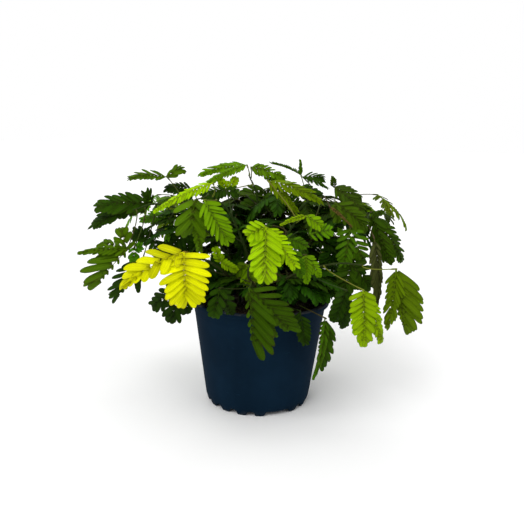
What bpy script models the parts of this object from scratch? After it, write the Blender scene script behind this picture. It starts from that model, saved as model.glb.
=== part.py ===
"""Sensitive plant in a round nursery pot, in metres, +Z up, pot axis on Z, resting plane at z = 0."""

import math
import random

import bmesh
import bpy
from mathutils import Vector

MM = 0.001

# Pot
RIM_RADIUS = 52.5
POT_HEIGHT = 80.0
FOOT_RADIUS = 39.3
WALL = 1.3
LIP_OVERHANG = 2.2
LIP_DEPTH = 3.4
FOOT_COUNT = 18
FOOT_HEIGHT = 3.2
SEGMENTS_PER_FOOT = 3
FLOOR_THICKNESS = 1.6
PAD_RADIUS = 27.0

# Soil
SOIL_TOP = 69.0
SOIL_MOUND = 4.5
CLEARANCE = 0.3
HOLE_DEPTH = 13.0

# Leaves
BLADE = 0.62
RIB_HALF = 0.55
PITCH = 9.2
PETIOLE_RADIUS = 0.75
HUB_RADIUS = 1.5

# The front view that the leaves are laid out in: a 524-unit square grid, seen from EYE
EYE = Vector((1.13, -440.0, 200.0))
VIEW_PITCH = math.radians(12.04)
VIEW_ROLL = math.radians(1.46)
VIEW_LENGTH = 600.0
VIEW_CENTRE = 262.0

# Surface colours (linear red, green, blue), roughness
TONES = {
    "yellow": ((0.75, 0.72, 0.01), 0.5),
    "lime": ((0.36, 0.55, 0.015), 0.5),
    "green": ((0.16, 0.34, 0.012), 0.5),
    "mid": ((0.07, 0.22, 0.012), 0.5),
    "olive": ((0.24, 0.30, 0.016), 0.5),
    "dark": ((0.014, 0.06, 0.008), 0.55),
    "brown": ((0.16, 0.10, 0.03), 0.7),
    "stem": ((0.085, 0.075, 0.03), 0.6),
    "soil": ((0.022, 0.014, 0.009), 0.95),
    "pot": ((0.012, 0.022, 0.038), 0.42),
}

# Stems: name, radius at the soil, radius at the tip, points (x, y, z) after the straight foot
STEMS = (
    ("stem_left", 1.5, 0.9, ((-22, -6, 108), (-48, -14, 140), (-72, -20, 150), (-90, -24, 146))),
    ("stem_front_left", 1.4, 0.9, ((-20, -24, 98), (-36, -46, 116), (-46, -68, 121))),
    ("stem_high_left", 1.4, 0.9, ((-9, -14, 112), (-22, -28, 146), (-36, -38, 160))),
    ("stem_top", 1.4, 0.8, ((0, 5, 120), (-4, 5, 155), (-10, 4, 170))),
    ("stem_right", 1.6, 0.9, ((17, 4, 115), (30, 4, 148), (50, 2, 156), (72, 4, 146), (84, 6, 134))),
    ("stem_front_right", 1.5, 0.9, ((12, -24, 94), (28, -34, 107), (52, -36, 114), (70, -38, 114))),
    ("stem_front", 1.4, 0.9, ((-2, -34, 94), (-8, -50, 108), (-3, -62, 126))),
    ("stem_middle", 1.4, 0.9, ((9, -16, 110), (18, -30, 132), (24, -38, 144))),
)
STEM_FEET = {
    "stem_left": (-10, 0),
    "stem_front_left": (-8, -9),
    "stem_high_left": (-2, -5),
    "stem_top": (1, 4),
    "stem_right": (9, 3),
    "stem_front_right": (9, -8),
    "stem_front": (0, -14),
    "stem_middle": (5, -2.5),
    "foliage_inner_left": (-15, 6),
    "foliage_inner_right": (16, -3),
    "foliage_inner_middle": (0, 11),
    "foliage_inner_high": (14, 9),
    "foliage_inner_low": (15, -12),
    "foliage_back_left": (-9, 14),
    "foliage_back_right": (9, 13),
    "foliage_back_middle": (0, 20),
}

# Leaves: name, tone, stem, share of the stem where the stalk leaves it, depth, hub (across, down)
# and each pinna as tip (across, down), depth past the hub, leaflet length, face tilt up, face turn
LEAVES = (
    ("leaf_top_left", "olive", "stem_left", 0.62, 6, (167, 177), (
        (126, 178, 0, 9, 42, 0),
        (185, 167, 4, 9, 40, 0),
    )),
    ("leaf_left_upper", "mid", "stem_left", 0.86, -14, (151, 204), (
        (91, 205, -10, 12, 30, 0),
        (87, 228, -1, 11, 35, 0),
    )),
    ("leaf_left_inner", "dark", "stem_left", 0.72, -2, (174, 217), (
        (138, 219, -2, 9, 30, 0),
        (166, 244, -4, 10, 15, 0),
    )),
    ("leaf_left_high", "dark", "stem_left", 0.5, 16, (192, 190), (
        (162, 187, 0, 9, 40, 0),
        (176, 205, 0, 9, 40, 0),
    )),
    ("leaf_left_low", "green", "stem_left", 0.97, -32, (127, 250), (
        (95, 242, 10, 9, 45, 0),
        (76, 252, -4, 9, 40, 0),
        (89, 289, -8, 13, 10, 0),
        (120, 226, -1, 8, 20, 0),
    )),
    ("leaf_left_small", "mid", "stem_left", 0.9, -20, (134, 248), (
        (143, 246, -2, 5, 10, 0),
        (134, 263, -3, 6, 10, 0),
    )),
    ("leaf_left_behind", "dark", "stem_left", 0.8, -8, (143, 258), (
        (110, 301, -2, 13, 10, 0),
        (138, 292, 9, 10, 10, 0),
    )),
    ("leaf_left_shade", "dark", "stem_left", 0.66, -2, (154, 240), (
        (129, 231, 2, 10, 20, 0),
        (166, 266, 0, 10, 10, 0),
    )),
    ("leaf_yellow", "yellow", "stem_front_left", 1.0, -85, (184, 252), (
        (117, 287, -4, 13, 38, 0),
        (187, 312, -10, 18, 8, 0),
    )),
    ("leaf_under_yellow", "dark", "stem_front_left", 0.8, -64, (182, 288), (
        (149, 306, 8, 11, 15, 0),
        (169, 325, -5, 11, 5, 0),
        (189, 318, 2, 9, 5, 20),
    )),
    ("leaf_lime_high", "lime", "stem_high_left", 0.95, -45, (213, 183), (
        (152, 212, -6, 7, 35, 0),
    )),
    ("leaf_crown_left", "lime", "stem_top", 1.0, -2, (247, 166), (
        (197, 177, -2, 9, 35, 0),
        (204, 184, -18, 7, 45, 0),
    )),
    ("leaf_olive_hanging", "olive", "stem_high_left", 1.0, -54, (195, 200), (
        (191, 239, -6, 14, 5, 0),
        (200, 254, 6, 7, 5, 10),
    )),
    ("leaf_lime_hanging", "lime", "stem_high_left", 0.9, -60, (204, 200), (
        (231, 246, -6, 12, 5, 0),
    )),
    ("leaf_dark_crown", "dark", "stem_high_left", 0.7, -17, (226, 190), (
        (200, 196, -9, 7, 30, 0),
        (203, 203, -6, 6, 30, 0),
        (240, 193, 0, 6, 30, 0),
    )),
    ("leaf_young_lime", "lime", "stem_top", 0.85, -13, (228, 190), (
        (219, 178, -2, 5, 10, 0),
        (238, 176, 5, 5, 10, 0),
    )),
    ("leaf_crown_right", "green", "stem_top", 0.95, 13, (251, 167), (
        (285, 176, 2, 8, 40, 0),
        (268, 189, 1, 7, 40, 0),
    )),
    ("leaf_lime_ridge", "lime", "stem_middle", 1.0, -20, (272, 186), (
        (325, 202, -4, 8, 40, 0),
        (300, 214, -1, 8, 30, 0),
    )),
    ("leaf_twig_high", "mid", "stem_right", 0.5, 22, (301, 175), (
        (269, 160, 6, 4, 50, 0),
        (300, 160, 10, 4, 20, 0),
    )),
    ("leaf_dark_fan", "dark", "stem_right", 0.55, 2, (303, 177), (
        (328, 178, 2, 9, 35, 0),
        (318, 192, -9, 7, 30, 0),
    )),
    ("leaf_right_high", "dark", "stem_right", 0.72, -2, (334, 187), (
        (364, 200, 0, 8, 30, 0),
        (367, 213, -14, 8, 30, 0),
        (333, 177, -6, 4, 10, 0),
    )),
    ("leaf_olive_ridge", "olive", "stem_right", 0.66, -16, (335, 203), (
        (371, 230, -4, 9, 30, 0),
        (338, 222, -11, 6, 10, 0),
    )),
    ("leaf_withered", "brown", "stem_right", 0.6, -28, (330, 207), (
        (352, 227, -2, 3, 20, 0),
    )),
    ("leaf_right_hanging", "olive", "stem_right", 0.95, 1, (372, 215), (
        (391, 264, -7, 10, 5, -20),
        (403, 268, 14, 9, 5, 20),
        (385, 211, 2, 4, 10, 0),
    )),
    ("leaf_right_edge_on", "brown", "stem_right", 0.86, -22, (374, 238), (
        (379, 291, -4, 4, 5, 50),
    )),
    ("leaf_right_fan", "mid", "stem_right", 0.75, -21, (350, 228), (
        (343, 269, -6, 11, 5, 0),
        (365, 266, 3, 11, 5, 0),
    )),
    ("leaf_right_lime", "lime", "stem_front_right", 1.0, -40, (396, 269), (
        (387, 332, -8, 9, 5, 0),
        (404, 335, 2, 12, 5, 0),
    )),
    ("leaf_lime_front_right", "lime", "stem_front_right", 0.7, -62, (363, 290), (
        (364, 349, -8, 12, 5, 0),
        (383, 345, -1, 9, 5, 10),
    )),
    ("leaf_low_right", "mid", "stem_front_right", 0.25, -52, (325, 318), (
        (313, 381, -4, 6, 5, 40),
        (327, 372, -19, 8, 5, 0),
    )),
    ("leaf_shade_right", "dark", "stem_front_right", 0.6, -49, (346, 290), (
        (327, 317, 0, 9, 5, 0),
        (343, 331, 9, 9, 5, 0),
    )),
    ("leaf_lime_front", "lime", "stem_front", 1.0, -72, (266, 227), (
        (264, 284, -16, 14, 8, 0),
        (299, 271, -2, 9, 20, 0),
        (246, 236, -9, 9, 20, 0),
    )),
    ("leaf_green_front", "green", "stem_front", 0.9, -58, (285, 237), (
        (310, 248, -2, 6, 30, 0),
        (304, 280, -6, 8, 10, 0),
    )),
    ("leaf_bright_fan", "green", "stem_middle", 0.55, -43, (306, 255), (
        (323, 275, -2, 8, 10, 0),
        (307, 286, -9, 8, 5, 0),
    )),
    ("leaf_lime_arc", "lime", "stem_middle", 0.95, -37, (306, 216), (
        (280, 225, -4, 4, 30, 0),
        (323, 228, -2, 6, 30, 0),
    )),
    ("leaf_thin_bright", "green", "stem_right", 0.58, -34, (309, 234), (
        (333, 230, -2, 6, 20, 0),
    )),
    ("leaf_lime_low", "lime", "stem_front", 0.45, -32, (246, 264), (
        (258, 294, 0, 11, 10, 0),
        (233, 276, -2, 6, 10, 0),
    )),
    ("leaf_over_rim", "green", "stem_front", 0.6, -56, (249, 288), (
        (261, 359, -16, 13, 5, 0),
        (298, 336, -6, 13, 15, 0),
        (276, 340, -2, 8, 5, 0),
    )),
    ("leaf_dark_rim", "dark", "stem_front", 0.5, -62, (220, 288), (
        (213, 321, -2, 9, 5, 0),
        (233, 318, 7, 9, 5, 0),
    )),
    ("leaf_rim_right", "dark", "stem_front_right", 0.2, -48, (300, 311), (
        (306, 348, -4, 8, 5, 0),
    )),
    ("leaf_young_middle", "lime", "stem_front", 0.4, -32, (221, 262), (
        (214, 247, -2, 5, 10, 0),
        (238, 271, -5, 5, 10, 0),
    )),
)


# Leafy stems fused with their leaves: name, tone, radii, points after the foot, leaves as share
# of the stem, depth, hub and pinnae
INNER_FOLIAGE = (
    ("foliage_inner_left", "dark", 1.3, 0.8, ((-21, 5, 104), (-29, 3, 126), (-34, 2, 140)), (
        (0.5, -18, (212, 254), ((203, 292, -2, 12, 10, 0), (243, 284, 7, 12, 10, 0))),
        (0.74, -8, (186, 230), ((162, 258, -2, 11, 10, 0), (190, 266, 7, 10, 10, 0))),
        (0.95, 8, (228, 208), ((204, 232, 2, 11, 10, 0), (242, 250, -9, 11, 10, 0))),
    )),
    ("foliage_inner_right", "dark", 1.3, 0.8, ((25, -3, 104), (38, -4, 126), (45, -4, 140)), (
        (0.5, -14, (312, 264), ((292, 304, 0, 12, 10, 0), (338, 296, -7, 12, 10, 0))),
        (0.8, -6, (340, 238), ((322, 270, 0, 11, 10, 0), (364, 278, -9, 11, 10, 0))),
        (0.95, 14, (318, 202), ((296, 226, 0, 11, 10, 0), (342, 232, -7, 11, 10, 0))),
    )),
    ("foliage_inner_middle", "dark", 1.3, 0.8, ((2, 10, 104), (6, 8, 126), (8, 6, 142)), (
        (0.55, 0, (268, 254), ((244, 284, -2, 12, 10, 0), (286, 296, 1, 12, 10, 0))),
        (0.8, 11, (284, 222), ((264, 258, 2, 12, 10, 0), (312, 250, 0, 12, 10, 0))),
        (0.98, 13, (262, 200), ((234, 218, 0, 11, 15, 0), (290, 206, 4, 11, 15, 0))),
    )),
    ("foliage_inner_high", "dark", 1.2, 0.8, ((17, 16, 110), (17, 22, 138), (16, 20, 156)), (
        (0.8, 28, (264, 190), ((238, 198, 0, 10, 20, 0), (256, 218, 0, 10, 15, 0))),
        (1.0, 20, (298, 188), ((326, 200, 0, 10, 20, 0), (300, 216, 0, 10, 15, 0))),
    )),
    ("foliage_inner_low", "dark", 1.2, 0.9, ((17, -11, 86), (20, -9, 94), (21, -7, 100)), (
        (1.0, -9, (300, 276), ((286, 302, 0, 10, 10, 0), (326, 298, 0, 10, 10, 0))),
    )),
)

# Leafy stems of the back, whose leaves follow a seeded rule
BACK_FOLIAGE = (
    ("foliage_back_left", "mid", 1.4, 0.8, ((-20, 30, 112), (-42, 48, 140), (-66, 58, 144)), 16),
    ("foliage_back_right", "mid", 1.4, 0.8, ((22, 30, 112), (46, 48, 140), (70, 56, 144)), 4),
    ("foliage_back_middle", "green", 1.4, 0.8, ((1, 38, 108), (3, 62, 136), (2, 84, 138)), 18),
)
BACK_SHARES = (0.5, 0.74, 1.0)


def clear_scene():
    """Empty the scene."""
    for obj in list(bpy.data.objects):
        bpy.data.objects.remove(obj, do_unlink=True)


def make_collection(name):
    """A collection linked to the scene."""
    collection = bpy.data.collections.new(name)
    bpy.context.scene.collection.children.link(collection)
    return collection


def make_material(name):
    """Principled material of a tone."""
    colour, roughness = TONES[name]
    material = bpy.data.materials.new(name)
    material.use_nodes = True
    shader = material.node_tree.nodes["Principled BSDF"]
    shader.inputs["Base Color"].default_value = (*colour, 1.0)
    shader.inputs["Roughness"].default_value = roughness
    shader.inputs["Metallic"].default_value = 0.0
    return material


def sighted(across, down, depth):
    """Point in mm at this depth (y) on the line of sight through a place of the front grid."""
    u = across - VIEW_CENTRE
    v = down - VIEW_CENTRE
    right = (u * math.cos(VIEW_ROLL) + v * math.sin(VIEW_ROLL)) / VIEW_LENGTH
    up = (u * math.sin(VIEW_ROLL) - v * math.cos(VIEW_ROLL)) / VIEW_LENGTH
    forward = math.cos(VIEW_PITCH) + up * math.sin(VIEW_PITCH)
    rise = up * math.cos(VIEW_PITCH) - math.sin(VIEW_PITCH)
    reach = (depth - EYE.y) / forward
    return EYE + reach * Vector((right, forward, rise))


def mesh_object(name, points, faces, collection, material=None):
    """Mesh object from points in mm."""
    mesh = bpy.data.meshes.new(name)
    mesh.from_pydata([Vector(p) * MM for p in points], [], faces)
    mesh.update()
    if material:
        mesh.materials.append(material)
    obj = bpy.data.objects.new(name, mesh)
    collection.objects.link(obj)
    return obj


def tube_object(name, points, radii, collection, material=None, resolution=0):
    """Closed tube along points in mm, made as a bevelled poly curve and turned into a mesh."""
    curve = bpy.data.curves.new(name, "CURVE")
    curve.dimensions = "3D"
    curve.bevel_depth = MM
    curve.bevel_resolution = resolution
    curve.use_fill_caps = True
    spline = curve.splines.new("POLY")
    spline.points.add(len(points) - 1)
    for place, point, radius in zip(spline.points, points, radii):
        place.co = (*(Vector(point) * MM), 1.0)
        place.radius = radius
    guide = bpy.data.objects.new(name + "_guide", curve)
    collection.objects.link(guide)
    bpy.context.view_layer.update()
    mesh = bpy.data.meshes.new_from_object(guide.evaluated_get(bpy.context.evaluated_depsgraph_get()))
    bpy.data.objects.remove(guide, do_unlink=True)
    shape = bmesh.new()
    shape.from_mesh(mesh)
    bmesh.ops.remove_doubles(shape, verts=shape.verts, dist=1e-6)
    bmesh.ops.recalc_face_normals(shape, faces=shape.faces)
    shape.to_mesh(mesh)
    shape.free()
    mesh.materials.clear()
    if material:
        mesh.materials.append(material)
    obj = bpy.data.objects.new(name, mesh)
    collection.objects.link(obj)
    return obj


def bezier(a, b, c, t):
    """Point of a quadratic curve."""
    return a * (1 - t) ** 2 + b * (2 * t * (1 - t)) + c * t ** 2


def smooth_path(points, count):
    """Points of a Catmull-Rom curve through the given ones, count to a span."""
    points = [Vector(p) for p in points]
    padded = [2 * points[0] - points[1], *points, 2 * points[-1] - points[-2]]
    path = []
    for a, b, c, d in zip(padded, padded[1:], padded[2:], padded[3:]):
        for k in range(count):
            t = k / count
            path.append(
                0.5 * (2 * b + (c - a) * t + (2 * a - 5 * b + 4 * c - d) * t ** 2
                       + (3 * b - a - 3 * c + d) * t ** 3)
            )
    path.append(points[-1])
    return path


def stem_path(name, rest):
    """Centre line of a stem, from the bottom of its hole in the soil to the tip."""
    x, y = STEM_FEET[name]
    start = Vector((x, y, SOIL_TOP - HOLE_DEPTH + 1.5))
    return [start, *smooth_path([(x, y, SOIL_TOP + SOIL_MOUND + 1), *rest], 2)]


def along(path, share):
    """Point and direction at a share of the number of spans of a path."""
    place = min(share * (len(path) - 1), len(path) - 1.001)
    index = int(place)
    step = path[index + 1] - path[index]
    return path[index] + step * (place - index), step.normalized()


def pinna_face(hub, tip, lay, turn):
    """Face normal of a pinna: it looks to the front, tilted up by lay and turned by turn, in degrees."""
    chord = (tip - hub).normalized()
    lay = math.radians(lay)
    turn = math.radians(turn)
    face = Vector((math.sin(turn) * math.cos(lay), -math.cos(turn) * math.cos(lay), math.sin(lay)))
    face = face - chord * face.dot(chord)
    return face.normalized()


def pinna_sheet(hub, tip, width, lay, turn, most_pairs, pointed):
    """Open sheet of a pinna: a narrow rib with leaflets on both sides, cut down to the rib.

    The rib zigzags between its two edges. Each notch is a point of one edge, and
    each leaflet is a blade that stands on two notches of its side, with a blunt
    end, or with a point where pointed is set.
    """
    face = pinna_face(hub, tip, lay, turn)
    length = (tip - hub).length
    pairs = max(2, min(most_pairs, round(length / PITCH)))
    bend = (hub + tip) / 2 + face * (0.13 * length)
    reach = length - 0.45 * width
    end = hub + (tip - hub) * (reach / length)
    steps = 2 * pairs + 1
    bare = 0.09

    def spot(share):
        point = bezier(hub, bend, end, share)
        ahead = (bezier(hub, bend, end, share + 0.02) - point).normalized()
        normal = (face - ahead * face.dot(ahead)).normalized()
        return point, ahead, normal, ahead.cross(normal).normalized()

    points = []
    faces = []
    point, ahead, normal, side = spot(0.0)
    points.append(point + side * RIB_HALF)
    points.append(point - side * RIB_HALF)
    for k in range(steps + 1):
        point, ahead, normal, side = spot(bare + (1 - bare) * k / steps)
        hand = 1 if k % 2 == 0 else -1
        points.append(point + side * (hand * RIB_HALF))
    for k in range(steps + 1):
        faces.append((k, k + 1, k + 2) if k % 2 == 0 else (k + 1, k, k + 2))
    gap = (1 - bare) / steps * reach * 2
    for k in range(steps - 1):
        hand = 1 if k % 2 == 0 else -1
        share = bare + (1 - bare) * (k + 1) / steps
        point, ahead, normal, side = spot(share)
        near = k + 2
        far = k + 4
        grown = k / (steps - 2)
        size = width * (0.78 + 0.5 * grown - 0.62 * grown ** 2)
        lean = math.radians(70 - 34 * grown ** 2)
        out = side * (hand * math.sin(lean)) + ahead * math.cos(lean) - normal * 0.12
        outer_near = points[near] + out * (0.9 * size) + ahead * (0.3 * gap)
        outer_far = points[far] + out * (size - 0.1 * gap)
        base = len(points)
        if pointed:
            points.append(outer_near.lerp(outer_far, 0.6))
            blades = [(near, base, far)]
        else:
            points.append(outer_near)
            points.append(outer_far)
            blades = [(near, base, base + 1), (near, base + 1, far)]
        faces += [blade[::-1] if hand > 0 else blade for blade in blades]
    return points, faces


def pinna_object(name, sheet, collection):
    """Pinna sheet given its thickness."""
    obj = mesh_object(name, sheet[0], sheet[1], collection)
    solidify = obj.modifiers.new("thickness", "SOLIDIFY")
    solidify.thickness = BLADE * MM
    solidify.offset = 0.0
    bpy.context.view_layer.update()
    mesh = bpy.data.meshes.new_from_object(obj.evaluated_get(bpy.context.evaluated_depsgraph_get()))
    obj.modifiers.clear()
    obj.data = mesh
    shape = bmesh.new()
    shape.from_mesh(mesh)
    bmesh.ops.triangulate(shape, faces=shape.faces)
    bmesh.ops.recalc_face_normals(shape, faces=shape.faces)
    shape.to_mesh(mesh)
    shape.free()
    return obj


def stalk_path(path, share, radius, hub):
    """Centre line of a leaf stalk: square off the stem at this distance from its axis, then to the hub."""
    foot, run = along(path, share)
    out = hub - foot
    out = (out - run * out.dot(run)).normalized()
    start = foot + out * radius
    span = (hub - start).length
    lifted = start + out * (0.3 * span) + Vector((0, 0, 0.1 * span))
    return [bezier(start, lifted, hub, k / 3) for k in range(4)]


def hub_object(name, hub, collection):
    """Small swelling where the pinnae meet the stalk."""
    shape = bmesh.new()
    bmesh.ops.create_uvsphere(shape, u_segments=4, v_segments=2, radius=HUB_RADIUS * MM)
    bmesh.ops.translate(shape, verts=shape.verts, vec=hub * MM)
    mesh = bpy.data.meshes.new(name)
    shape.to_mesh(mesh)
    shape.free()
    knob = bpy.data.objects.new(name, mesh)
    collection.objects.link(knob)
    return knob


def join_parts(body, group, material):
    """Fuse the collection's shapes with the body in one Boolean union, then remove them."""
    join = body.modifiers.new("join", "BOOLEAN")
    join.operation = "UNION"
    join.operand_type = "COLLECTION"
    join.collection = group
    join.solver = "MANIFOLD"
    bpy.context.view_layer.update()
    mesh = bpy.data.meshes.new_from_object(body.evaluated_get(bpy.context.evaluated_depsgraph_get()))
    body.modifiers.clear()
    body.data = mesh
    mesh.materials.clear()
    mesh.materials.append(material)
    for part in list(group.objects):
        bpy.data.objects.remove(part, do_unlink=True)
    bpy.data.collections.remove(group)


def make_leaf(spec, nodes, materials):
    """One leaf: stalk, hub and pinnae joined into one body, a small gap clear of its stem."""
    name, tone, stem, share, depth, place, pinnae = spec
    hub = sighted(*place, depth)
    thick, thin, rest = next(row[1:] for row in STEMS if row[0] == stem)
    radius = thick + (thin - thick) * share + CLEARANCE
    path = stalk_path(stem_path(stem, rest), share, radius, hub)
    leaf = tube_object(name, path, [PETIOLE_RADIUS] * len(path), nodes, materials[tone])
    group = make_collection(name + "_parts")
    hub_object(name + "_hub", hub, group)
    for index, (across, down, past, width, lay, turn) in enumerate(pinnae):
        tip = sighted(across, down, depth + past)
        sheet = pinna_sheet(hub, tip, width, lay, turn, 5, False)
        pinna_object(f"{name}_pinna_{index}", sheet, group)
    join_parts(leaf, group, materials[tone])


def grid_leaves(leaves):
    """Hubs and pinnae of leaves that are given in the front grid."""
    found = []
    for share, depth, place, pinnae in leaves:
        hub = sighted(*place, depth)
        blades = [
            (sighted(across, down, depth + past), width, lay, turn)
            for across, down, past, width, lay, turn in pinnae
        ]
        found.append((share, hub, blades))
    return found


def seeded_leaves(path, seed):
    """Hubs and pinnae of the leaves of a back stem, left and right of it in turn, hanging outward."""
    rng = random.Random(seed)
    found = []
    for index, share in enumerate(BACK_SHARES):
        foot, run = along(path, share)
        heading = math.atan2(run.y, run.x)
        side = 0 if share == 1.0 else (1 if index % 2 else -1)
        heading += math.radians(side * rng.uniform(48, 62))
        reach = rng.uniform(22, 28)
        hub = foot + Vector((math.cos(heading), math.sin(heading), rng.uniform(0.1, 0.35))) * reach
        blades = []
        for spread in (-34, 34):
            angle = heading + math.radians(spread + rng.uniform(-6, 6))
            fall = math.radians(rng.uniform(18, 58))
            size = rng.uniform(34, 42)
            out = Vector((math.cos(angle), math.sin(angle), 0))
            tip = hub + (out * math.cos(fall) - Vector((0, 0, math.sin(fall)))) * size
            turn = math.degrees(math.atan2(out.x, -out.y))
            blades.append((tip, rng.uniform(9, 11), 55, turn))
        found.append((share, hub, blades))
    return found


def make_foliage(name, tone, thick, thin, rest, found, pointed, nodes, materials):
    """A leafy stem with its leaves fused to it, as one body."""
    path = stem_path(name, rest)
    radii = [thick + (thin - thick) * k / (len(path) - 1) for k in range(len(path))]
    body = tube_object(name, path, radii, nodes, materials[tone])
    group = make_collection(name + "_parts")
    for index, (share, hub, blades) in enumerate(found):
        stalk = stalk_path(path, share, 0.0, hub)
        tube_object(f"{name}_stalk_{index}", stalk, [PETIOLE_RADIUS] * len(stalk), group)
        hub_object(f"{name}_hub_{index}", hub, group)
        for place, (tip, width, lay, turn) in enumerate(blades):
            sheet = pinna_sheet(hub, tip, width, lay, turn, 4, pointed)
            pinna_object(f"{name}_pinna_{index}_{place}", sheet, group)
    join_parts(body, group, materials[tone])


def ring_surface(rings, closed_ends):
    """Faces that join rings of equal count, with the end rings filled."""
    points = [point for ring in rings for point in ring]
    count = len(rings[0])
    faces = []
    for level in range(len(rings) - 1):
        for k in range(count):
            n = (k + 1) % count
            a = level * count
            faces.append((a + k, a + n, a + count + n, a + count + k))
    if closed_ends:
        faces.append(tuple(reversed(range(count))))
        last = (len(rings) - 1) * count
        faces.append(tuple(range(last, last + count)))
    return points, faces


def circle(radius, height, count, lift=None):
    """Ring of points; lift adds a height for each angle."""
    ring = []
    for k in range(count):
        angle = 2 * math.pi * k / count
        rise = lift(k) if lift else 0.0
        ring.append((radius * math.cos(angle), radius * math.sin(angle), height + rise))
    return ring


def wall_radius(height):
    """Outer radius of the pot wall at a height."""
    top = RIM_RADIUS - LIP_OVERHANG
    return FOOT_RADIUS + (top - FOOT_RADIUS) * height / POT_HEIGHT


def make_pot(nodes, materials):
    """Pot turned as one wall, with a rolled lip and a foot edge cut into rounded lobes."""
    count = FOOT_COUNT * SEGMENTS_PER_FOOT

    def notch(k):
        across = 2 * ((k % SEGMENTS_PER_FOOT) / SEGMENTS_PER_FOOT) - 1
        return FOOT_HEIGHT * 0.95 if k % SEGMENTS_PER_FOOT == 0 else 2.0 * abs(across) ** 2

    groove = PAD_RADIUS + 1.5
    inner = FLOOR_THICKNESS + FOOT_HEIGHT
    rings = [
        circle(PAD_RADIUS, 0.0, count),
        circle(groove, FOOT_HEIGHT, count),
        circle(FOOT_RADIUS - 3.4, FOOT_HEIGHT, count),
        circle(FOOT_RADIUS - 2.6, 0.05, count, notch),
        circle(FOOT_RADIUS - 1.2, 0.0, count, notch),
        circle(wall_radius(FOOT_HEIGHT) - 0.15, FOOT_HEIGHT + 0.4, count),
        circle(wall_radius(POT_HEIGHT - LIP_DEPTH), POT_HEIGHT - LIP_DEPTH, count),
        circle(RIM_RADIUS, POT_HEIGHT - LIP_DEPTH, count),
        circle(RIM_RADIUS, POT_HEIGHT - 0.7, count),
        circle(RIM_RADIUS - 0.6, POT_HEIGHT, count),
        circle(wall_radius(POT_HEIGHT) - WALL, POT_HEIGHT, count),
        circle(wall_radius(inner) - WALL, inner, count),
    ]
    points, faces = ring_surface(rings, True)
    pot = mesh_object("pot", points, faces, nodes, materials["pot"])
    shape = bmesh.new()
    shape.from_mesh(pot.data)
    bmesh.ops.recalc_face_normals(shape, faces=shape.faces)
    bmesh.ops.triangulate(shape, faces=[face for face in shape.faces if len(face.verts) > 4])
    shape.to_mesh(pot.data)
    shape.free()
    return pot


def make_soil(nodes, cutters, materials):
    """Soil that fills the pot, mounded, with a plain hole for each stem."""
    count = 24
    bottom = FLOOR_THICKNESS + FOOT_HEIGHT + CLEARANCE
    radius_low = wall_radius(bottom) - WALL - CLEARANCE
    radius_high = wall_radius(SOIL_TOP) - WALL - CLEARANCE
    rings = [
        circle(radius_low, bottom, count),
        circle(radius_high, SOIL_TOP, count),
        circle(radius_high * 0.45, SOIL_TOP + SOIL_MOUND, count),
    ]
    points, faces = ring_surface(rings, True)
    soil = mesh_object("soil", points, faces, nodes, materials["soil"])
    holes = make_collection("stem_holes")
    cutters.children.link(holes)
    bpy.context.scene.collection.children.unlink(holes)
    for row in (*STEMS, *INNER_FOLIAGE, *BACK_FOLIAGE):
        name, thick = (row[0], row[1]) if row in STEMS else (row[0], row[2])
        x, y = STEM_FEET[name]
        radius = (thick + CLEARANCE) / math.cos(math.pi / 6) * MM
        bpy.ops.mesh.primitive_cylinder_add(
            vertices=6, radius=radius, depth=2 * HOLE_DEPTH * MM, location=(x * MM, y * MM, SOIL_TOP * MM)
        )
        hole = bpy.context.object
        hole.name = name + "_hole"
        hole.display_type = "WIRE"
        hole.hide_render = True
        for collection in hole.users_collection:
            collection.objects.unlink(hole)
        holes.objects.link(hole)
    cut = soil.modifiers.new("holes", "BOOLEAN")
    cut.operation = "DIFFERENCE"
    cut.operand_type = "COLLECTION"
    cut.collection = holes
    cut.solver = "EXACT"
    return soil


def make_stems(nodes, materials):
    """Stems, each a tapering tube."""
    for name, thick, thin, rest in STEMS:
        path = stem_path(name, rest)
        radii = [thick + (thin - thick) * k / (len(path) - 1) for k in range(len(path))]
        tube_object(name, path, radii, nodes, materials["stem"], resolution=1)


def build():
    clear_scene()
    nodes = make_collection("potted_sensitive_plant")
    cutters = make_collection("cutters")
    cutters.hide_render = True
    materials = {name: make_material(name) for name in TONES}
    make_pot(nodes, materials)
    make_soil(nodes, cutters, materials)
    make_stems(nodes, materials)
    for spec in LEAVES:
        make_leaf(spec, nodes, materials)
    for name, tone, thick, thin, rest, leaves in INNER_FOLIAGE:
        found = grid_leaves(leaves)
        make_foliage(name, tone, thick, thin, rest, found, True, nodes, materials)
    for name, tone, thick, thin, rest, seed in BACK_FOLIAGE:
        found = seeded_leaves(stem_path(name, rest), seed)
        make_foliage(name, tone, thick, thin, rest, found, False, nodes, materials)


build()
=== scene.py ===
"""Potted sensitive plant: fine pieces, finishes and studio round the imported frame. Lengths are in mm."""

import math
import random

import bpy
import numpy as np
from mathutils import Matrix, Vector


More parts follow.
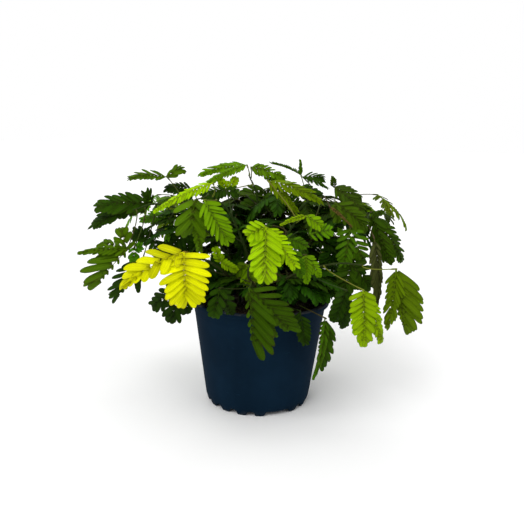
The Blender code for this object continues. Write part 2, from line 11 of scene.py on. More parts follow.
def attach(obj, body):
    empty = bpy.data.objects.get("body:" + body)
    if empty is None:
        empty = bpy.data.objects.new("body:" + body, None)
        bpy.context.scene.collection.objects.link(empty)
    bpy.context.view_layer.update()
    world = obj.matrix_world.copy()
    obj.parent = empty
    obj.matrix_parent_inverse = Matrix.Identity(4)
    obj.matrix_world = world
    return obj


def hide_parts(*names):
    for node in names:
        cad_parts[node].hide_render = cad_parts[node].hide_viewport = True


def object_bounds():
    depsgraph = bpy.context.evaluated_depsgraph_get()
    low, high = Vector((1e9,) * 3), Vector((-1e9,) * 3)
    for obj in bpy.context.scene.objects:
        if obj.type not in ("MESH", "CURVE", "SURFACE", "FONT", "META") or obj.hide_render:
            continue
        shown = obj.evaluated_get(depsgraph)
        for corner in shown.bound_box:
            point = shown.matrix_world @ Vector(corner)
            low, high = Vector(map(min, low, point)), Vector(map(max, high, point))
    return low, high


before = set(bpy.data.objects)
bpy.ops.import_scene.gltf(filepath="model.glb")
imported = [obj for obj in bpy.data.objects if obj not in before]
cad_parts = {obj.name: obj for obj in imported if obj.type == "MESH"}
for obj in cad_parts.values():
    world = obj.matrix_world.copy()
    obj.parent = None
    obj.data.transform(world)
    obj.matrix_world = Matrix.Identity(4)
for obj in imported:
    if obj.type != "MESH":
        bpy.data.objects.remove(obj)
CAD_BOX = [list(corner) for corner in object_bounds()]

bl_info = {
    "name": "Potted sensitive plant",
    "version": (1, 0, 0),
    "blender": (4, 5, 0),
    "location": "3D View > Sidebar > Plant",
    "description": "Builds a sensitive plant in a round nursery pot around its packed frame",
    "category": "Add Mesh",
}

MM = 0.001

# Soil and stem holes, as in the frame
SOIL_TOP = 69.0
SOIL_MOUND = 4.5
HOLE_DEPTH = 13.0

# Pot: thickness of its floor, radius of the pad below it, gap to the soil and at the rounded inner corner,
# and radius of the small fan that closes a pole
FLOOR_THICKNESS = 1.6
PAD_RADIUS = 27.0
CLEARANCE = 0.3
CORNER_CLEARANCE = 0.9
POLE = 0.8

# Points round each lobe of the foot, turn of the lobes about the axis, and the lobe that is broken off
LOBE_STEPS = 16
LOBE_TURN = 0.059
LOST_LOBE = 14

# Soil: small bumps, loose crumbs, points round it and rings across its top
SOIL_BUMPS = 420
SOIL_CRUMBS = 620
SOIL_AROUND = 150
SOIL_RINGS = 58

# Steps of a stem's path for each of its points, bristles on a stem, points along a stalk and along a rib
STEM_STEPS = 12
STEM_BRISTLES = 70
STALK_POINTS = 22
RIB_POINTS = 14

# Upward tilt of the faces of pinnae that hang round a leafy stem, in degrees, and how near the front and how
# low such leaves may come
HANGING_LAY = 55
NEAREST_FILLING = -24.0
LOWEST_FILLING = 84.0

# Seeds of what is left to chance, and each further piece of a kind adds one
SOIL_SEED = 5
STEM_SEED = 100
LEAF_SEED = 200
LEAFY_SEED = 300
SHADE_SEED = 400

# Edges that turn by more than this stay sharp
CREASE = math.radians(62)

# Values that a mesh holds for each point: tint of the leaflet, side of the leaf, brightness (partly the
# leaf's own tone, partly painted light and shade) and its red
POINT_VALUES = ("tint", "face", "shade", "red")

# Stains of the leaf tissue, and the green and the flush of the stalks, where a tone has its own
STAINS = {"yellow": (0.4, 0.3, 0.02), "brown": (0.05, 0.028, 0.012), "dark": (0.035, 0.05, 0.01)}
STALK_COLOURS = {
    "yellow": ((0.3, 0.28, 0.02), (0.3, 0.17, 0.02)),
    "lime": ((0.17, 0.22, 0.02), (0.17, 0.14, 0.025)),
    "dark": ((0.03, 0.06, 0.01), (0.05, 0.035, 0.012)),
    "brown": ((0.08, 0.06, 0.025), (0.06, 0.035, 0.018)),
}

# Floor, in metres, and lamps: setting with the strength, angle of the sun's disc in degrees, direction
FLOOR_AROUND = 96
FLOOR_RADII = (0.01, 0.6, 3.0, 9.0)
LAMPS = (
    ("key", 34.0, (-0.62, -0.95, 1.15)),
    ("fill", 40.0, (1.0, -0.7, 0.7)),
    ("top", 40.0, (0.1, 0.25, 1.3)),
    ("side", 30.0, (-1.0, -0.15, 0.2)),
    ("back", 40.0, (-0.4, 1.0, 0.8)),
)

# The front view that the leaves are laid out in: a 524-unit square grid, seen from EYE
EYE = np.array((1.13, -440.0, 200.0))
VIEW_PITCH = math.radians(12.04)
VIEW_ROLL = math.radians(1.46)
VIEW_LENGTH = 600.0
VIEW_CENTRE = 262.0

# Stems: name, radius at the soil, radius at the tip, points (x, y, z) after the straight foot
STEMS = (
    ("stem_left", 1.5, 0.9, ((-22, -6, 108), (-48, -14, 140), (-72, -20, 150), (-90, -24, 146))),
    ("stem_front_left", 1.4, 0.9, ((-20, -24, 98), (-36, -46, 116), (-46, -68, 121))),
    ("stem_high_left", 1.4, 0.9, ((-9, -14, 112), (-22, -28, 146), (-36, -38, 160))),
    ("stem_top", 1.4, 0.8, ((0, 5, 120), (-4, 5, 155), (-10, 4, 170))),
    ("stem_right", 1.6, 0.9, ((17, 4, 115), (30, 4, 148), (50, 2, 156), (72, 4, 146), (84, 6, 134))),
    ("stem_front_right", 1.5, 0.9, ((12, -24, 94), (28, -34, 107), (52, -36, 114), (70, -38, 114))),
    ("stem_front", 1.4, 0.9, ((-2, -34, 94), (-8, -50, 108), (-3, -62, 126))),
    ("stem_middle", 1.4, 0.9, ((9, -16, 110), (18, -30, 132), (24, -38, 144))),
)
STEM_FEET = {
    "stem_left": (-10, 0),
    "stem_front_left": (-8, -9),
    "stem_high_left": (-2, -5),
    "stem_top": (1, 4),
    "stem_right": (9, 3),
    "stem_front_right": (9, -8),
    "stem_front": (0, -14),
    "stem_middle": (5, -2.5),
    "foliage_inner_left": (-15, 6),
    "foliage_inner_right": (16, -3),
    "foliage_inner_middle": (0, 11),
    "foliage_inner_high": (14, 9),
    "foliage_inner_low": (15, -12),
    "foliage_back_left": (-9, 14),
    "foliage_back_right": (9, 13),
    "foliage_back_middle": (0, 20),
}

# Leaves: name, tone, stem, share of the stem where the stalk leaves it, depth, hub (across, down)
# and each pinna as tip (across, down), depth past the hub, leaflet length, face tilt up, face turn
LEAVES = (
    ("leaf_top_left", "olive", "stem_left", 0.62, 6, (167, 177), (
        (126, 178, 0, 9, 42, 0), (185, 167, 4, 9, 40, 0),
    )),
    ("leaf_left_upper", "mid", "stem_left", 0.86, -14, (151, 204), (
        (91, 205, -10, 15, 30, 0), (87, 228, -1, 14, 35, 0), (145, 190, -4, 8, 30, 0),
    )),
    ("leaf_left_inner", "dark", "stem_left", 0.72, -2, (174, 217), (
        (138, 219, -2, 9, 30, 0), (166, 244, -4, 10, 15, 0),
    )),
    ("leaf_left_high", "dark", "stem_left", 0.5, 16, (192, 190), (
        (162, 187, 0, 9, 40, 0), (176, 205, 0, 9, 40, 0),
    )),
    ("leaf_left_low", "green", "stem_left", 0.97, -32, (127, 250), (
        (95, 242, 10, 9, 45, 0), (76, 252, -4, 9, 40, 0), (92, 289, -8, 14, 10, 0),
        (120, 226, -1, 9, 20, 0),
    )),
    ("leaf_left_small", "mid", "stem_left", 0.9, -20, (134, 248), (
        (143, 246, -2, 5, 10, 0), (134, 263, -3, 6, 10, 0),
    )),
    ("leaf_left_behind", "dark", "stem_left", 0.8, -8, (143, 258), (
        (113, 302, -2, 13, 10, 0), (138, 292, 9, 10, 10, 0),
    )),
    ("leaf_left_shade", "dark", "stem_left", 0.66, -2, (154, 240), (
        (129, 231, 2, 10, 20, 0), (166, 266, 0, 10, 10, 0),
    )),
    ("leaf_yellow", "yellow", "stem_front_left", 1.0, -85, (184, 252), (
        (117, 287, -4, 15, 38, 0), (187, 312, -10, 18, 8, 0),
    )),
    ("leaf_under_yellow", "dark", "stem_front_left", 0.8, -64, (182, 288), (
        (147, 309, 8, 12, 15, 0), (168, 326, -5, 12, 5, 0), (189, 318, 2, 9, 5, 20),
    )),
    ("leaf_lime_high", "lime", "stem_high_left", 0.95, -45, (213, 183), (
        (152, 212, -6, 7, 35, 0),
    )),
    ("leaf_crown_left", "lime", "stem_top", 1.0, -2, (247, 165), (
        (197, 175, -2, 9, 35, 0), (204, 184, -18, 7, 45, 0),
    )),
    ("leaf_olive_hanging", "olive", "stem_high_left", 1.0, -54, (195, 200), (
        (190, 240, -6, 17, 5, 0), (200, 254, 6, 7, 5, 10),
    )),
    ("leaf_lime_hanging", "lime", "stem_high_left", 0.9, -60, (204, 200), (
        (231, 246, -6, 12, 5, 0),
    )),
    ("leaf_dark_crown", "dark", "stem_high_left", 0.7, -17, (226, 190), (
        (200, 196, -9, 7, 30, 0), (203, 203, -6, 6, 30, 0), (240, 193, 0, 6, 30, 0),
    )),
    ("leaf_young_lime", "lime", "stem_top", 0.85, -13, (228, 190), (
        (219, 178, -2, 5, 10, 0), (238, 176, 5, 5, 10, 0),
    )),
    ("leaf_crown_right", "green", "stem_top", 0.95, 13, (251, 167), (
        (288, 179, 2, 8, 40, 0), (279, 188, 1, 7, 40, 0),
    )),
    ("leaf_lime_ridge", "lime", "stem_middle", 1.0, -20, (268, 181), (
        (325, 202, -4, 11, 40, 0), (300, 214, -1, 8, 30, 0),
    )),
    ("leaf_twig_high", "mid", "stem_right", 0.5, 22, (301, 175), (
        (269, 163, 6, 4, 50, 0), (300, 160, 10, 4, 20, 0),
    )),
    ("leaf_dark_fan", "dark", "stem_right", 0.55, 2, (303, 177), (
        (328, 178, 2, 9, 35, 0), (329, 188, -9, 5, 30, 0),
    )),
    ("leaf_right_high", "dark", "stem_right", 0.72, -2, (334, 187), (
        (365, 201, 0, 10, 30, 0), (367, 214, -14, 10, 30, 0), (333, 177, -6, 4, 10, 0),
    )),
    ("leaf_olive_ridge", "olive", "stem_right", 0.66, -16, (335, 203), (
        (371, 231, -4, 14, 30, 0), (338, 222, -11, 8, 10, 0),
    )),
    ("leaf_withered", "brown", "stem_right", 0.6, -28, (330, 207), (
        (352, 227, -2, 3, 20, 0),
    )),
    ("leaf_right_hanging", "olive", "stem_right", 0.95, 1, (372, 215), (
        (391, 266, -7, 17, 5, -20), (405, 264, 14, 15, 5, 20), (385, 211, 2, 4, 10, 0),
    )),
    ("leaf_right_edge_on", "brown", "stem_right", 0.86, -22, (374, 238), (
        (377, 313, -6, 12, 5, 20),
    )),
    ("leaf_right_fan", "mid", "stem_right", 0.75, -21, (350, 228), (
        (343, 269, -6, 11, 5, 0), (365, 266, 3, 11, 5, 0),
    )),
    ("leaf_right_lime", "lime", "stem_front_right", 1.0, -40, (396, 269), (
        (387, 331, -8, 13, 5, 0), (406, 334, 2, 18, 5, 0),
    )),
    ("leaf_lime_front_right", "lime", "stem_front_right", 0.7, -62, (363, 290), (
        (364, 349, -8, 12, 5, 0), (383, 345, -1, 9, 5, 10),
    )),
    ("leaf_low_right", "mid", "stem_front_right", 0.25, -52, (325, 318), (
        (313, 380, -12, 8, 5, 20), (319, 371, -5, 9.5, 5, 0),
    )),
    ("leaf_shade_right", "dark", "stem_front_right", 0.6, -49, (346, 290), (
        (332, 324, 0, 9, 5, 0), (343, 331, 9, 9, 5, 0),
    )),
    ("leaf_lime_front", "lime", "stem_front", 1.0, -72, (266, 227), (
        (264, 284, -16, 14, 8, 0), (299, 271, -2, 9, 20, 0), (246, 236, -9, 9, 20, 0),
    )),
    ("leaf_green_front", "green", "stem_front", 0.9, -58, (285, 237), (
        (310, 248, -2, 6, 30, 0), (304, 280, -6, 8, 10, 0),
    )),
    ("leaf_bright_fan", "green", "stem_middle", 0.55, -43, (306, 255), (
        (321, 278, -2, 6, 10, 0), (307, 284, -9, 6, 5, 0),
    )),
    ("leaf_lime_arc", "lime", "stem_middle", 0.95, -37, (306, 216), (
        (280, 225, -4, 4, 30, 0), (324, 228, -2, 8, 30, 0),
    )),
    ("leaf_thin_bright", "green", "stem_right", 0.58, -34, (309, 234), (
        (335, 229, -2, 8, 20, 0),
    )),
    ("leaf_lime_low", "lime", "stem_front", 0.45, -32, (246, 264), (
        (258, 294, 0, 11, 10, 0), (233, 276, -2, 6, 10, 0),
    )),
    ("leaf_over_rim", "green", "stem_front", 0.6, -56, (249, 288), (
        (256, 355, -16, 16, 5, 0), (296, 336, -6, 14, 15, 0), (276, 340, -2, 8, 5, 0),
    )),
    ("leaf_dark_rim", "dark", "stem_front", 0.5, -62, (220, 288), (
        (213, 321, -2, 9, 5, 0), (233, 318, 7, 9, 5, 0),
    )),
    ("leaf_rim_right", "dark", "stem_front_right", 0.2, -48, (300, 311), (
        (306, 348, -4, 8, 5, 0),
    )),
    ("leaf_young_middle", "lime", "stem_front", 0.4, -32, (221, 262), (
        (214, 247, -2, 5, 10, 0), (238, 271, -5, 5, 10, 0),
    )),
)

# Section of a leaflet: place across, and upper (1), edge (0) or lower (-1) side, round the section
ACROSS = np.array((-1.0, -0.55, 0.0, 0.55, 1.0, 0.55, 0.0, -0.55))
SIDE = np.array((0.0, 1.0, 1.0, 1.0, 0.0, -1.0, -1.0, -1.0))

# Places along a leaflet where its section is set: of single leaves, and of those in the shade
STATIONS = np.array((0.0, 0.1, 0.36, 0.66, 0.84, 0.95, 1.0))
SHADE_STATIONS = np.array((0.0, 0.4, 0.76, 0.93, 1.0))

# Looks of single leaves: brightness of the tissue (partly the leaf's own tone, partly painted light and
# shade) and of its red, lean of the first (spread) and of the last leaflets (end) from the rib and drop of
# both halves from it (roof) in degrees, spacing and breadth of the leaflets against the usual, share of lost
# leaflets, how far the leaflets are folded forward, how much longer one half is (bias), and how much shorter
# the last leaflets are (taper).
# A row in brackets gives one value for each pinna.
USUAL_LOOK = dict(
    shade=1.0, red=1.0, spread=58, end=20, roof=8, spacing=1.0, breadth=1.25, lost=0.03, folded=0.0, bias=0.0,
    taper=0.0, stations=STATIONS,
)
LEAF_LOOKS = {
    "leaf_yellow": dict(
        shade=(0.98, 1.1), spread=(52, 82), end=(4, 20), roof=2, spacing=(1.7, 0.72), breadth=(1.25, 1.2),
        lost=0.0, bias=(0.25, 0.0),
    ),
    "leaf_top_left": dict(shade=0.6, spread=38, end=12, breadth=1.75, lost=0.0, bias=(0.35, 0.0)),
    "leaf_left_upper": dict(
        shade=(0.46, 0.32, 0.4), red=0.9, spread=38, end=12, roof=6, spacing=(1.1, 1.1, 1.6),
        breadth=(1.6, 1.75, 1.2), lost=0.0, bias=(0.0, 0.35, 0.0),
    ),
    "leaf_left_inner": dict(shade=5.2, spread=40, end=12, breadth=1.5, lost=0.0, folded=(0.0, 0.9)),
    "leaf_left_low": dict(
        shade=0.56, spread=(44, 32, 46, 62), end=(14, 8, 18, 16), spacing=(1.8, 1.3, 1.6, 1.9),
        breadth=(1.1, 1.4, 1.3, 1.0), lost=0.0, bias=(0.0, 0.0, 0.75, 0.0),
    ),
    "leaf_lime_high": dict(shade=1.35, spread=44, end=12, roof=14, breadth=1.55, lost=0.0, taper=0.3),
    "leaf_olive_hanging": dict(shade=0.75, spread=54, spacing=1.1, breadth=1.3),
    "leaf_lime_hanging": dict(shade=0.72, red=0.8, spread=54, spacing=0.9, breadth=1.35, lost=0.0),
    "leaf_lime_front": dict(shade=1.2, spread=62, spacing=0.95, breadth=(1.45, 1.0, 1.35), lost=0.0),
    "leaf_over_rim": dict(
        shade=0.34, red=0.9, spread=(44, 50, 56), end=(14, 22, 22), spacing=(1.5, 1.3, 1.3),
        breadth=(1.35, 1.2, 1.15), lost=0.0, bias=(-0.6, -0.4, 0.0),
    ),
    "leaf_lime_front_right": dict(
        shade=0.88, spread=(68, 52), end=12, roof=10, spacing=0.95, breadth=1.45, lost=0.0, taper=0.15,
    ),
    "leaf_right_lime": dict(
        shade=0.38, red=0.95, spread=(36, 46), end=8, roof=10, breadth=1.6, bias=(-0.1, -0.5), taper=0.35,
    ),
    "leaf_lime_ridge": dict(
        shade=0.52, spread=38, end=12, roof=12, breadth=1.5, lost=0.0, bias=(-0.2, 0.0),
    ),
    "leaf_right_hanging": dict(shade=0.33, red=0.9, spread=40, end=8, breadth=1.4, lost=0.0, taper=0.3),
    "leaf_crown_left": dict(
        shade=0.6, red=0.75, spread=38, end=12, roof=12, breadth=1.6, lost=0.0, bias=(0.3, 0.0),
    ),
    "leaf_right_fan": dict(shade=0.84, spread=62, roof=4, spacing=1.3, breadth=0.8),
    "leaf_right_high": dict(shade=1.5, red=1.3, spread=44, end=12, breadth=1.35, lost=0.0),
    "leaf_crown_right": dict(shade=0.8, spread=58, spacing=1.1, breadth=1.2, bias=(0.0, -0.5)),
    "leaf_twig_high": dict(shade=0.7, folded=0.8),
    "leaf_withered": dict(folded=0.75),
    "leaf_right_edge_on": dict(shade=0.8, red=0.6, spread=40, end=10, breadth=1.7, folded=0.25, bias=0.3),
    "leaf_bright_fan": dict(shade=1.1, spread=60, end=14, breadth=1.1),
    "leaf_green_front": dict(shade=0.5, red=0.8, spread=60, breadth=1.1),
    "leaf_lime_low": dict(shade=(0.6, 0.35), red=0.85),
    "leaf_young_middle": dict(shade=(1.0, 0.85), red=0.95, breadth=1.4),
    "leaf_under_yellow": dict(shade=0.65, spread=50, end=12, spacing=1.6, breadth=0.9),
    "leaf_low_right": dict(
        shade=(0.75, 0.45), red=0.95, spread=(44, 46), spacing=(0.7, 1.1), breadth=(2.0, 1.8),
        folded=(0.5, 0.0), bias=(0.0, -0.55), taper=(0.2, 0.5),
    ),
    "leaf_olive_ridge": dict(shade=0.43, spread=44, end=12, breadth=1.4, lost=0.0),
    "leaf_dark_rim": dict(shade=(1.35, 0.8), spread=50, end=18, spacing=1.6, breadth=1.1, lost=0.0),
    "leaf_left_high": dict(spread=44, breadth=1.5, lost=0.0),
    "leaf_thin_bright": dict(shade=1.15, red=0.85, spread=64, end=30, spacing=1.5, breadth=0.7, lost=0.0),
    "leaf_lime_arc": dict(
        shade=(0.95, 0.86), red=(1.0, 0.85), spread=46, breadth=(1.5, 1.3), lost=0.0, folded=(0.35, 0.0),
    ),
    "leaf_shade_right": dict(shade=0.9, spread=48, end=12, roof=2, spacing=1.2, breadth=1.7, lost=0.0),
    "leaf_dark_crown": dict(shade=1.25),
    "leaf_left_behind": dict(
        spread=44, end=12, spacing=1.5, breadth=1.15, folded=(0.0, 0.7), bias=(0.45, 0.0),
    ),
    "leaf_left_small": dict(shade=1.5, red=0.75, breadth=1.7, lost=0.0),
    "leaf_dark_fan": dict(shade=1.4, spread=36, end=12, breadth=1.15),
}

# Leafy stems fused with their leaves: name, tone, radii, points after the foot, leaves as share
# of the stem, depth, hub and pinnae, then how many more leaves fill the shade round the stem
INNER_FOLIAGE = (
    ("foliage_inner_left", "dark", 1.3, 0.8, ((-21, 5, 104), (-29, 3, 126), (-34, 2, 140)), (
        (0.5, -18, (212, 254), ((203, 292, -2, 12, 10, 0), (243, 284, 7, 12, 10, 0))),
        (0.74, -8, (186, 230), ((162, 258, -2, 11, 10, 0), (190, 266, 7, 10, 10, 0))),
        (0.95, 8, (228, 208), ((204, 232, 2, 11, 10, 0), (242, 250, -9, 11, 10, 0))),
    ), 18),
    ("foliage_inner_right", "dark", 1.3, 0.8, ((25, -3, 104), (38, -4, 126), (45, -4, 140)), (
        (0.5, -14, (312, 264), ((292, 304, 0, 12, 10, 0), (338, 296, -7, 12, 10, 0))),
        (0.8, -6, (340, 238), ((322, 270, 0, 11, 10, 0), (364, 278, -9, 11, 10, 0))),
        (0.95, 14, (318, 202), ((296, 226, 0, 11, 10, 0), (342, 232, -7, 11, 10, 0))),
        (0.7, -20, (351, 264), ((342, 296, -4, 12, 10, 0), (375, 292, -2, 13, 10, 0))),
    ), 12),
    ("foliage_inner_middle", "dark", 1.3, 0.8, ((2, 10, 104), (6, 8, 126), (8, 6, 142)), (
        (0.55, 0, (268, 254), ((244, 284, -2, 12, 10, 0), (286, 296, 1, 12, 10, 0))),
        (0.8, 11, (284, 222), ((264, 258, 2, 12, 10, 0), (312, 250, 0, 12, 10, 0))),
        (0.98, 13, (262, 200), ((234, 218, 0, 11, 15, 0), (290, 206, 4, 11, 15, 0))),
    ), 12),
    ("foliage_inner_high", "dark", 1.2, 0.8, ((17, 16, 110), (17, 22, 138), (16, 20, 156)), (
        (0.8, 28, (264, 190), ((238, 198, 0, 10, 20, 0), (256, 218, 0, 10, 15, 0))),
        (1.0, 20, (298, 188), ((326, 200, 0, 10, 20, 0), (300, 216, 0, 10, 15, 0))),
    ), 8),
    ("foliage_inner_low", "dark", 1.2, 0.9, ((17, -11, 86), (20, -9, 94), (21, -7, 100)), (
        (1.0, -9, (300, 276), ((286, 302, 0, 10, 10, 0), (326, 298, 0, 10, 10, 0))),
        (0.9, -30, (296, 279), ((276, 298, -6, 11, 20, 0), (299, 304, -8, 12, 15, 0))),
        (0.8, -26, (318, 282), ((310, 302, -10, 12, 15, 0), (334, 300, -4, 11, 15, 0))),
    ), 12),
)

# Leafy stems of the back, whose leaves follow a seeded rule: name, tone, radii, points, seed, more leaves
BACK_FOLIAGE = (
    ("foliage_back_left", "mid", 1.4, 0.8, ((-20, 30, 112), (-42, 48, 140), (-66, 58, 144)), 16, 7),
    ("foliage_back_right", "mid", 1.4, 0.8, ((22, 30, 112), (46, 48, 140), (70, 56, 144)), 4, 7),
    ("foliage_back_middle", "green", 1.4, 0.8, ((1, 38, 108), (3, 62, 136), (2, 84, 138)), 18, 7),
)
BACK_SHARES = (0.5, 0.74, 1.0)

# Dark leaves that fill the shade round stems: stem, how many, nearest depth, highest level, and a brightness
# that is painted light
SHADE_LEAVES = (
    ("stem_left", 8, -26, 150, 1.0),
    ("stem_front_left", 6, -46, 106, 1.0),
    ("stem_high_left", 9, -24, 150, 1.0),
    ("stem_top", 8, -20, 158, 1.0),
    ("stem_right", 10, -24, 150, 1.0),
    ("stem_front_right", 8, -44, 104, 1.3),
    ("stem_front", 6, -50, 102, 1.2),
    ("stem_middle", 9, -26, 140, 1.0),
    ("foliage_inner_low", 5, -50, 104, 1.5),
)


# Settings that the panel shows


def colour_setting(name, description, default):
    """A colour of the panel."""
    return bpy.props.FloatVectorProperty(
        name=name, description=description, default=default, subtype="COLOR", size=3, min=0.0, max=1.0
    )


def value_setting(name, description, default, low, high):
    """A length in mm, or the strength of a light, of the panel."""
    return bpy.props.FloatProperty(name=name, description=description, default=default, min=low, max=high)


class PlantPotSettings(bpy.types.PropertyGroup):
    """Sizes and colours of the pot and its soil."""

    rim_radius: value_setting("Rim radius", "Outer radius of the lip, in mm", 52.5, 30.0, 90.0)
    height: value_setting("Height", "Height of the pot, in mm", 80.0, 40.0, 150.0)
    foot_radius: value_setting("Foot radius", "Outer radius of the wall at the foot, in mm", 39.3, 20.0, 80.0)
    wall: value_setting("Wall", "Thickness of the wall, in mm", 1.3, 0.6, 4.0)
    overhang: value_setting("Lip overhang", "How far the lip stands out from the wall, in mm", 2.2, 0.0, 6.0)
    lip_depth: value_setting("Lip depth", "Height of the lip's band, in mm", 3.4, 1.0, 12.0)
    lobes: bpy.props.IntProperty(
        name="Foot lobes", description="Number of rounded lobes of the foot", default=18, min=6, max=40
    )
    lobe_height: value_setting("Lobe height", "Height of the notches between the lobes, in mm", 3.6, 0.5, 8.0)
    colour: colour_setting("Pot colour", "Colour of the moulded plastic", (0.0034, 0.0121, 0.0248))
    soil: colour_setting("Soil colour", "Colour of the potting soil", (0.022, 0.013, 0.008))


class PlantLeafSettings(bpy.types.PropertyGroup):
    """Colours and build of the leaves and stems."""

    yellow: colour_setting("Yellow", "Leaves that have turned yellow", (0.75, 0.78, 0.0))
    lime: colour_setting("Lime", "Young leaves in full light", (0.31, 0.52, 0.0))
    green: colour_setting("Green", "Bright green leaves", (0.15, 0.32, 0.001))
    mid: colour_setting("Mid green", "Grown leaves", (0.078, 0.2, 0.002))
    olive: colour_setting("Olive", "Leaves that turn olive", (0.13, 0.28, 0.002))
    dark: colour_setting("Dark green", "Leaves in the shade", (0.021, 0.06, 0.001))
    brown: colour_setting("Brown", "Withered leaves", (0.14, 0.1, 0.022))
    bark: colour_setting("Bark", "Woody stems", (0.042, 0.034, 0.014))
    thickness: value_setting("Leaflet thickness", "Thickness at a leaflet's middle, in mm", 0.3, 0.1, 1.0)
    stalk_radius: value_setting("Stalk radius", "Radius of a leaf stalk at its middle, in mm", 0.38, 0.2, 1.5)
    bristle: value_setting("Bristle length", "Length of the bristles on the stems, in mm", 1.7, 0.0, 5.0)


class PlantStageSettings(bpy.types.PropertyGroup):
    """Floor and light."""

    floor: colour_setting("Floor", "Colour of the floor", (0.98, 0.98, 0.98))
    sky: value_setting("Sky light", "Strength of the even light from all round", 0.42, 0.0, 3.0)
    key: value_setting("Key light", "Strength of the soft light from the front left", 1.45, 0.0, 10.0)
    fill: value_setting("Fill light", "Strength of the soft light from the front right", 0.5, 0.0, 10.0)
    top: value_setting("Top light", "Strength of the soft light from overhead", 0.7, 0.0, 10.0)
    side: value_setting("Side light", "Strength of the soft light from the left", 0.6, 0.0, 10.0)
    back: value_setting("Back light", "Strength of the soft light from behind", 0.5, 0.0, 10.0)


# Curves and surfaces, worked out as whole arrays


def unit(vectors):
    """Vectors divided by their own lengths."""
    return vectors / np.linalg.norm(vectors, axis=-1, keepdims=True)


def square_to(vectors, axis):
    """Unit vectors of what is left when the share along a unit axis is taken out."""
    return unit(vectors - axis * np.sum(vectors * axis, axis=-1, keepdims=True))


def full_turn(around):
    """Angles evenly round a full turn."""
    return np.arange(around) * (2 * math.pi / around)


def bearing(angle):
    """Unit vectors in the plane at these angles."""
    return np.stack((np.cos(angle), np.sin(angle)), -1)


def spokes(side, over, around):
    """Vectors evenly round the plane of two rows of unit vectors, for each row."""
    turn = full_turn(around)
    return side[:, None] * np.cos(turn)[:, None] + over[:, None] * np.sin(turn)[:, None]


def sighted(across, down, depth):
    """Point at this depth (y) on the line of sight through a place of the front grid."""
    u = across - VIEW_CENTRE
    v = down - VIEW_CENTRE
    right = (u * math.cos(VIEW_ROLL) + v * math.sin(VIEW_ROLL)) / VIEW_LENGTH
    up = (u * math.sin(VIEW_ROLL) - v * math.cos(VIEW_ROLL)) / VIEW_LENGTH
    forward = math.cos(VIEW_PITCH) + up * math.sin(VIEW_PITCH)
    rise = up * math.cos(VIEW_PITCH) - math.sin(VIEW_PITCH)
    return EYE + (depth - EYE[1]) / forward * np.array((right, forward, rise))


def bezier(a, b, c, t):
    """Points a(1-t)^2 + 2bt(1-t) + ct^2 of a quadratic curve, one row for each t."""
    t = np.atleast_1d(t)[:, None]
    return a * (1 - t) ** 2 + b * (2 * t * (1 - t)) + c * t ** 2


def smooth_path(points, count):
    """Catmull-Rom curve through the points, count rows to a span and the last point."""
    points = np.array(points, float)
    padded = np.concatenate((2 * points[:1] - points[1:2], points, 2 * points[-1:] - points[-2:-1]))
    a, b, c, d = (padded[k:len(padded) - 3 + k, None] for k in range(4))
    t = (np.arange(count) / count)[None, :, None]
    spans = 0.5 * (2 * b + (c - a) * t + (2 * a - 5 * b + 4 * c - d) * t ** 2
                   + (3 * b - a - 3 * c + d) * t ** 3)
    return np.concatenate((spans.reshape(-1, 3), points[-1:]))


def stem_path(name, rest, count=STEM_STEPS):
    """Centre line of a stem: straight up its hole in the soil, then a smooth curve through its points."""
    x, y = STEM_FEET[name]
    foot = np.array(((x, y, SOIL_TOP - HOLE_DEPTH + 1.5),), float)
    curve = smooth_path([(x, y, SOIL_TOP + SOIL_MOUND + 1), *rest], 2 * count)
    rise = np.linspace(0.0, 1.0, count, endpoint=False)[:, None]
    return np.concatenate((foot + (curve[:1] - foot) * rise, curve))


def along(path, share):
    """Point and direction at a share of a path's spans."""
    place = min(share * (len(path) - 1), len(path) - 1.001)
    index = int(place)
    step = path[index + 1] - path[index]
    return path[index] + step * (place - index), unit(step)


def loft_faces(count, stations, around):
    """Outward faces of closed lofts: quads between rings that turn about their run, and fans at both ends."""
    i = np.arange(stations - 1)[:, None]
    j = np.arange(around)[None, :]
    k = (j + 1) % around
    corners = (i * around + j, i * around + k, (i + 1) * around + k, (i + 1) * around + j)
    quads = np.stack(corners, -1).reshape(-1, 4)
    m = np.arange(1, around - 1)
    first = np.stack((0 * m, m + 1, m), -1)
    last = np.stack((0 * m, m, m + 1), -1) + (stations - 1) * around
    shift = np.arange(count)[:, None, None] * stations * around
    return (quads + shift).reshape(-1, 4), (np.concatenate((first, last)) + shift).reshape(-1, 3)


def loft(rings, uv, tint=0.5, face=1.0, slot=0, shade=1.0, red=1.0):
    """Shell of rings (count, stations, around, 3), with its uv, tint, side, slot, brightness and red."""
    quads, fans = loft_faces(*rings.shape[:3])
    shell = {"points": rings.reshape(-1, 3), "quads": quads, "fans": fans, "slot": slot}
    shell["uv"] = np.broadcast_to(uv, (*rings.shape[:3], 2)).reshape(-1, 2)
    for key, value in zip(POINT_VALUES, (tint, face, shade, red)):
        shell[key] = np.broadcast_to(value, rings.shape[:3]).reshape(-1)
    return shell


def tube(path, radii, around, tint=0.5, slot=1):
    """Tube: circles of the given radii carried along a path, square to it, with a steady sideways axis."""
    run = unit(np.gradient(path, axis=0))
    chord = path[-1] - path[0]
    bow = np.cross(chord, path[len(path) // 2] - path[0])
    if np.linalg.norm(bow) < 0.02 * np.dot(chord, chord):
        bow = np.cross(chord, (0.31, 0.17, 0.94))
    if np.linalg.norm(bow) < 0.02 * np.linalg.norm(chord):
        bow = np.cross(chord, (1.0, 0.0, 0.0))
    side = square_to(np.broadcast_to(bow, path.shape), run)
    reach = spokes(side, np.cross(run, side), around)
    rings = path[:, None] + reach * np.broadcast_to(radii, len(path))[:, None, None]
    turn = full_turn(around)
    share = np.linspace(0.0, 1.0, len(path))[:, None] + 0 * turn
    uv = np.stack((share, 1 - np.abs(turn / math.pi - 1) + 0 * share), -1)
    return loft(rings[None], uv, tint, 1.0, slot)


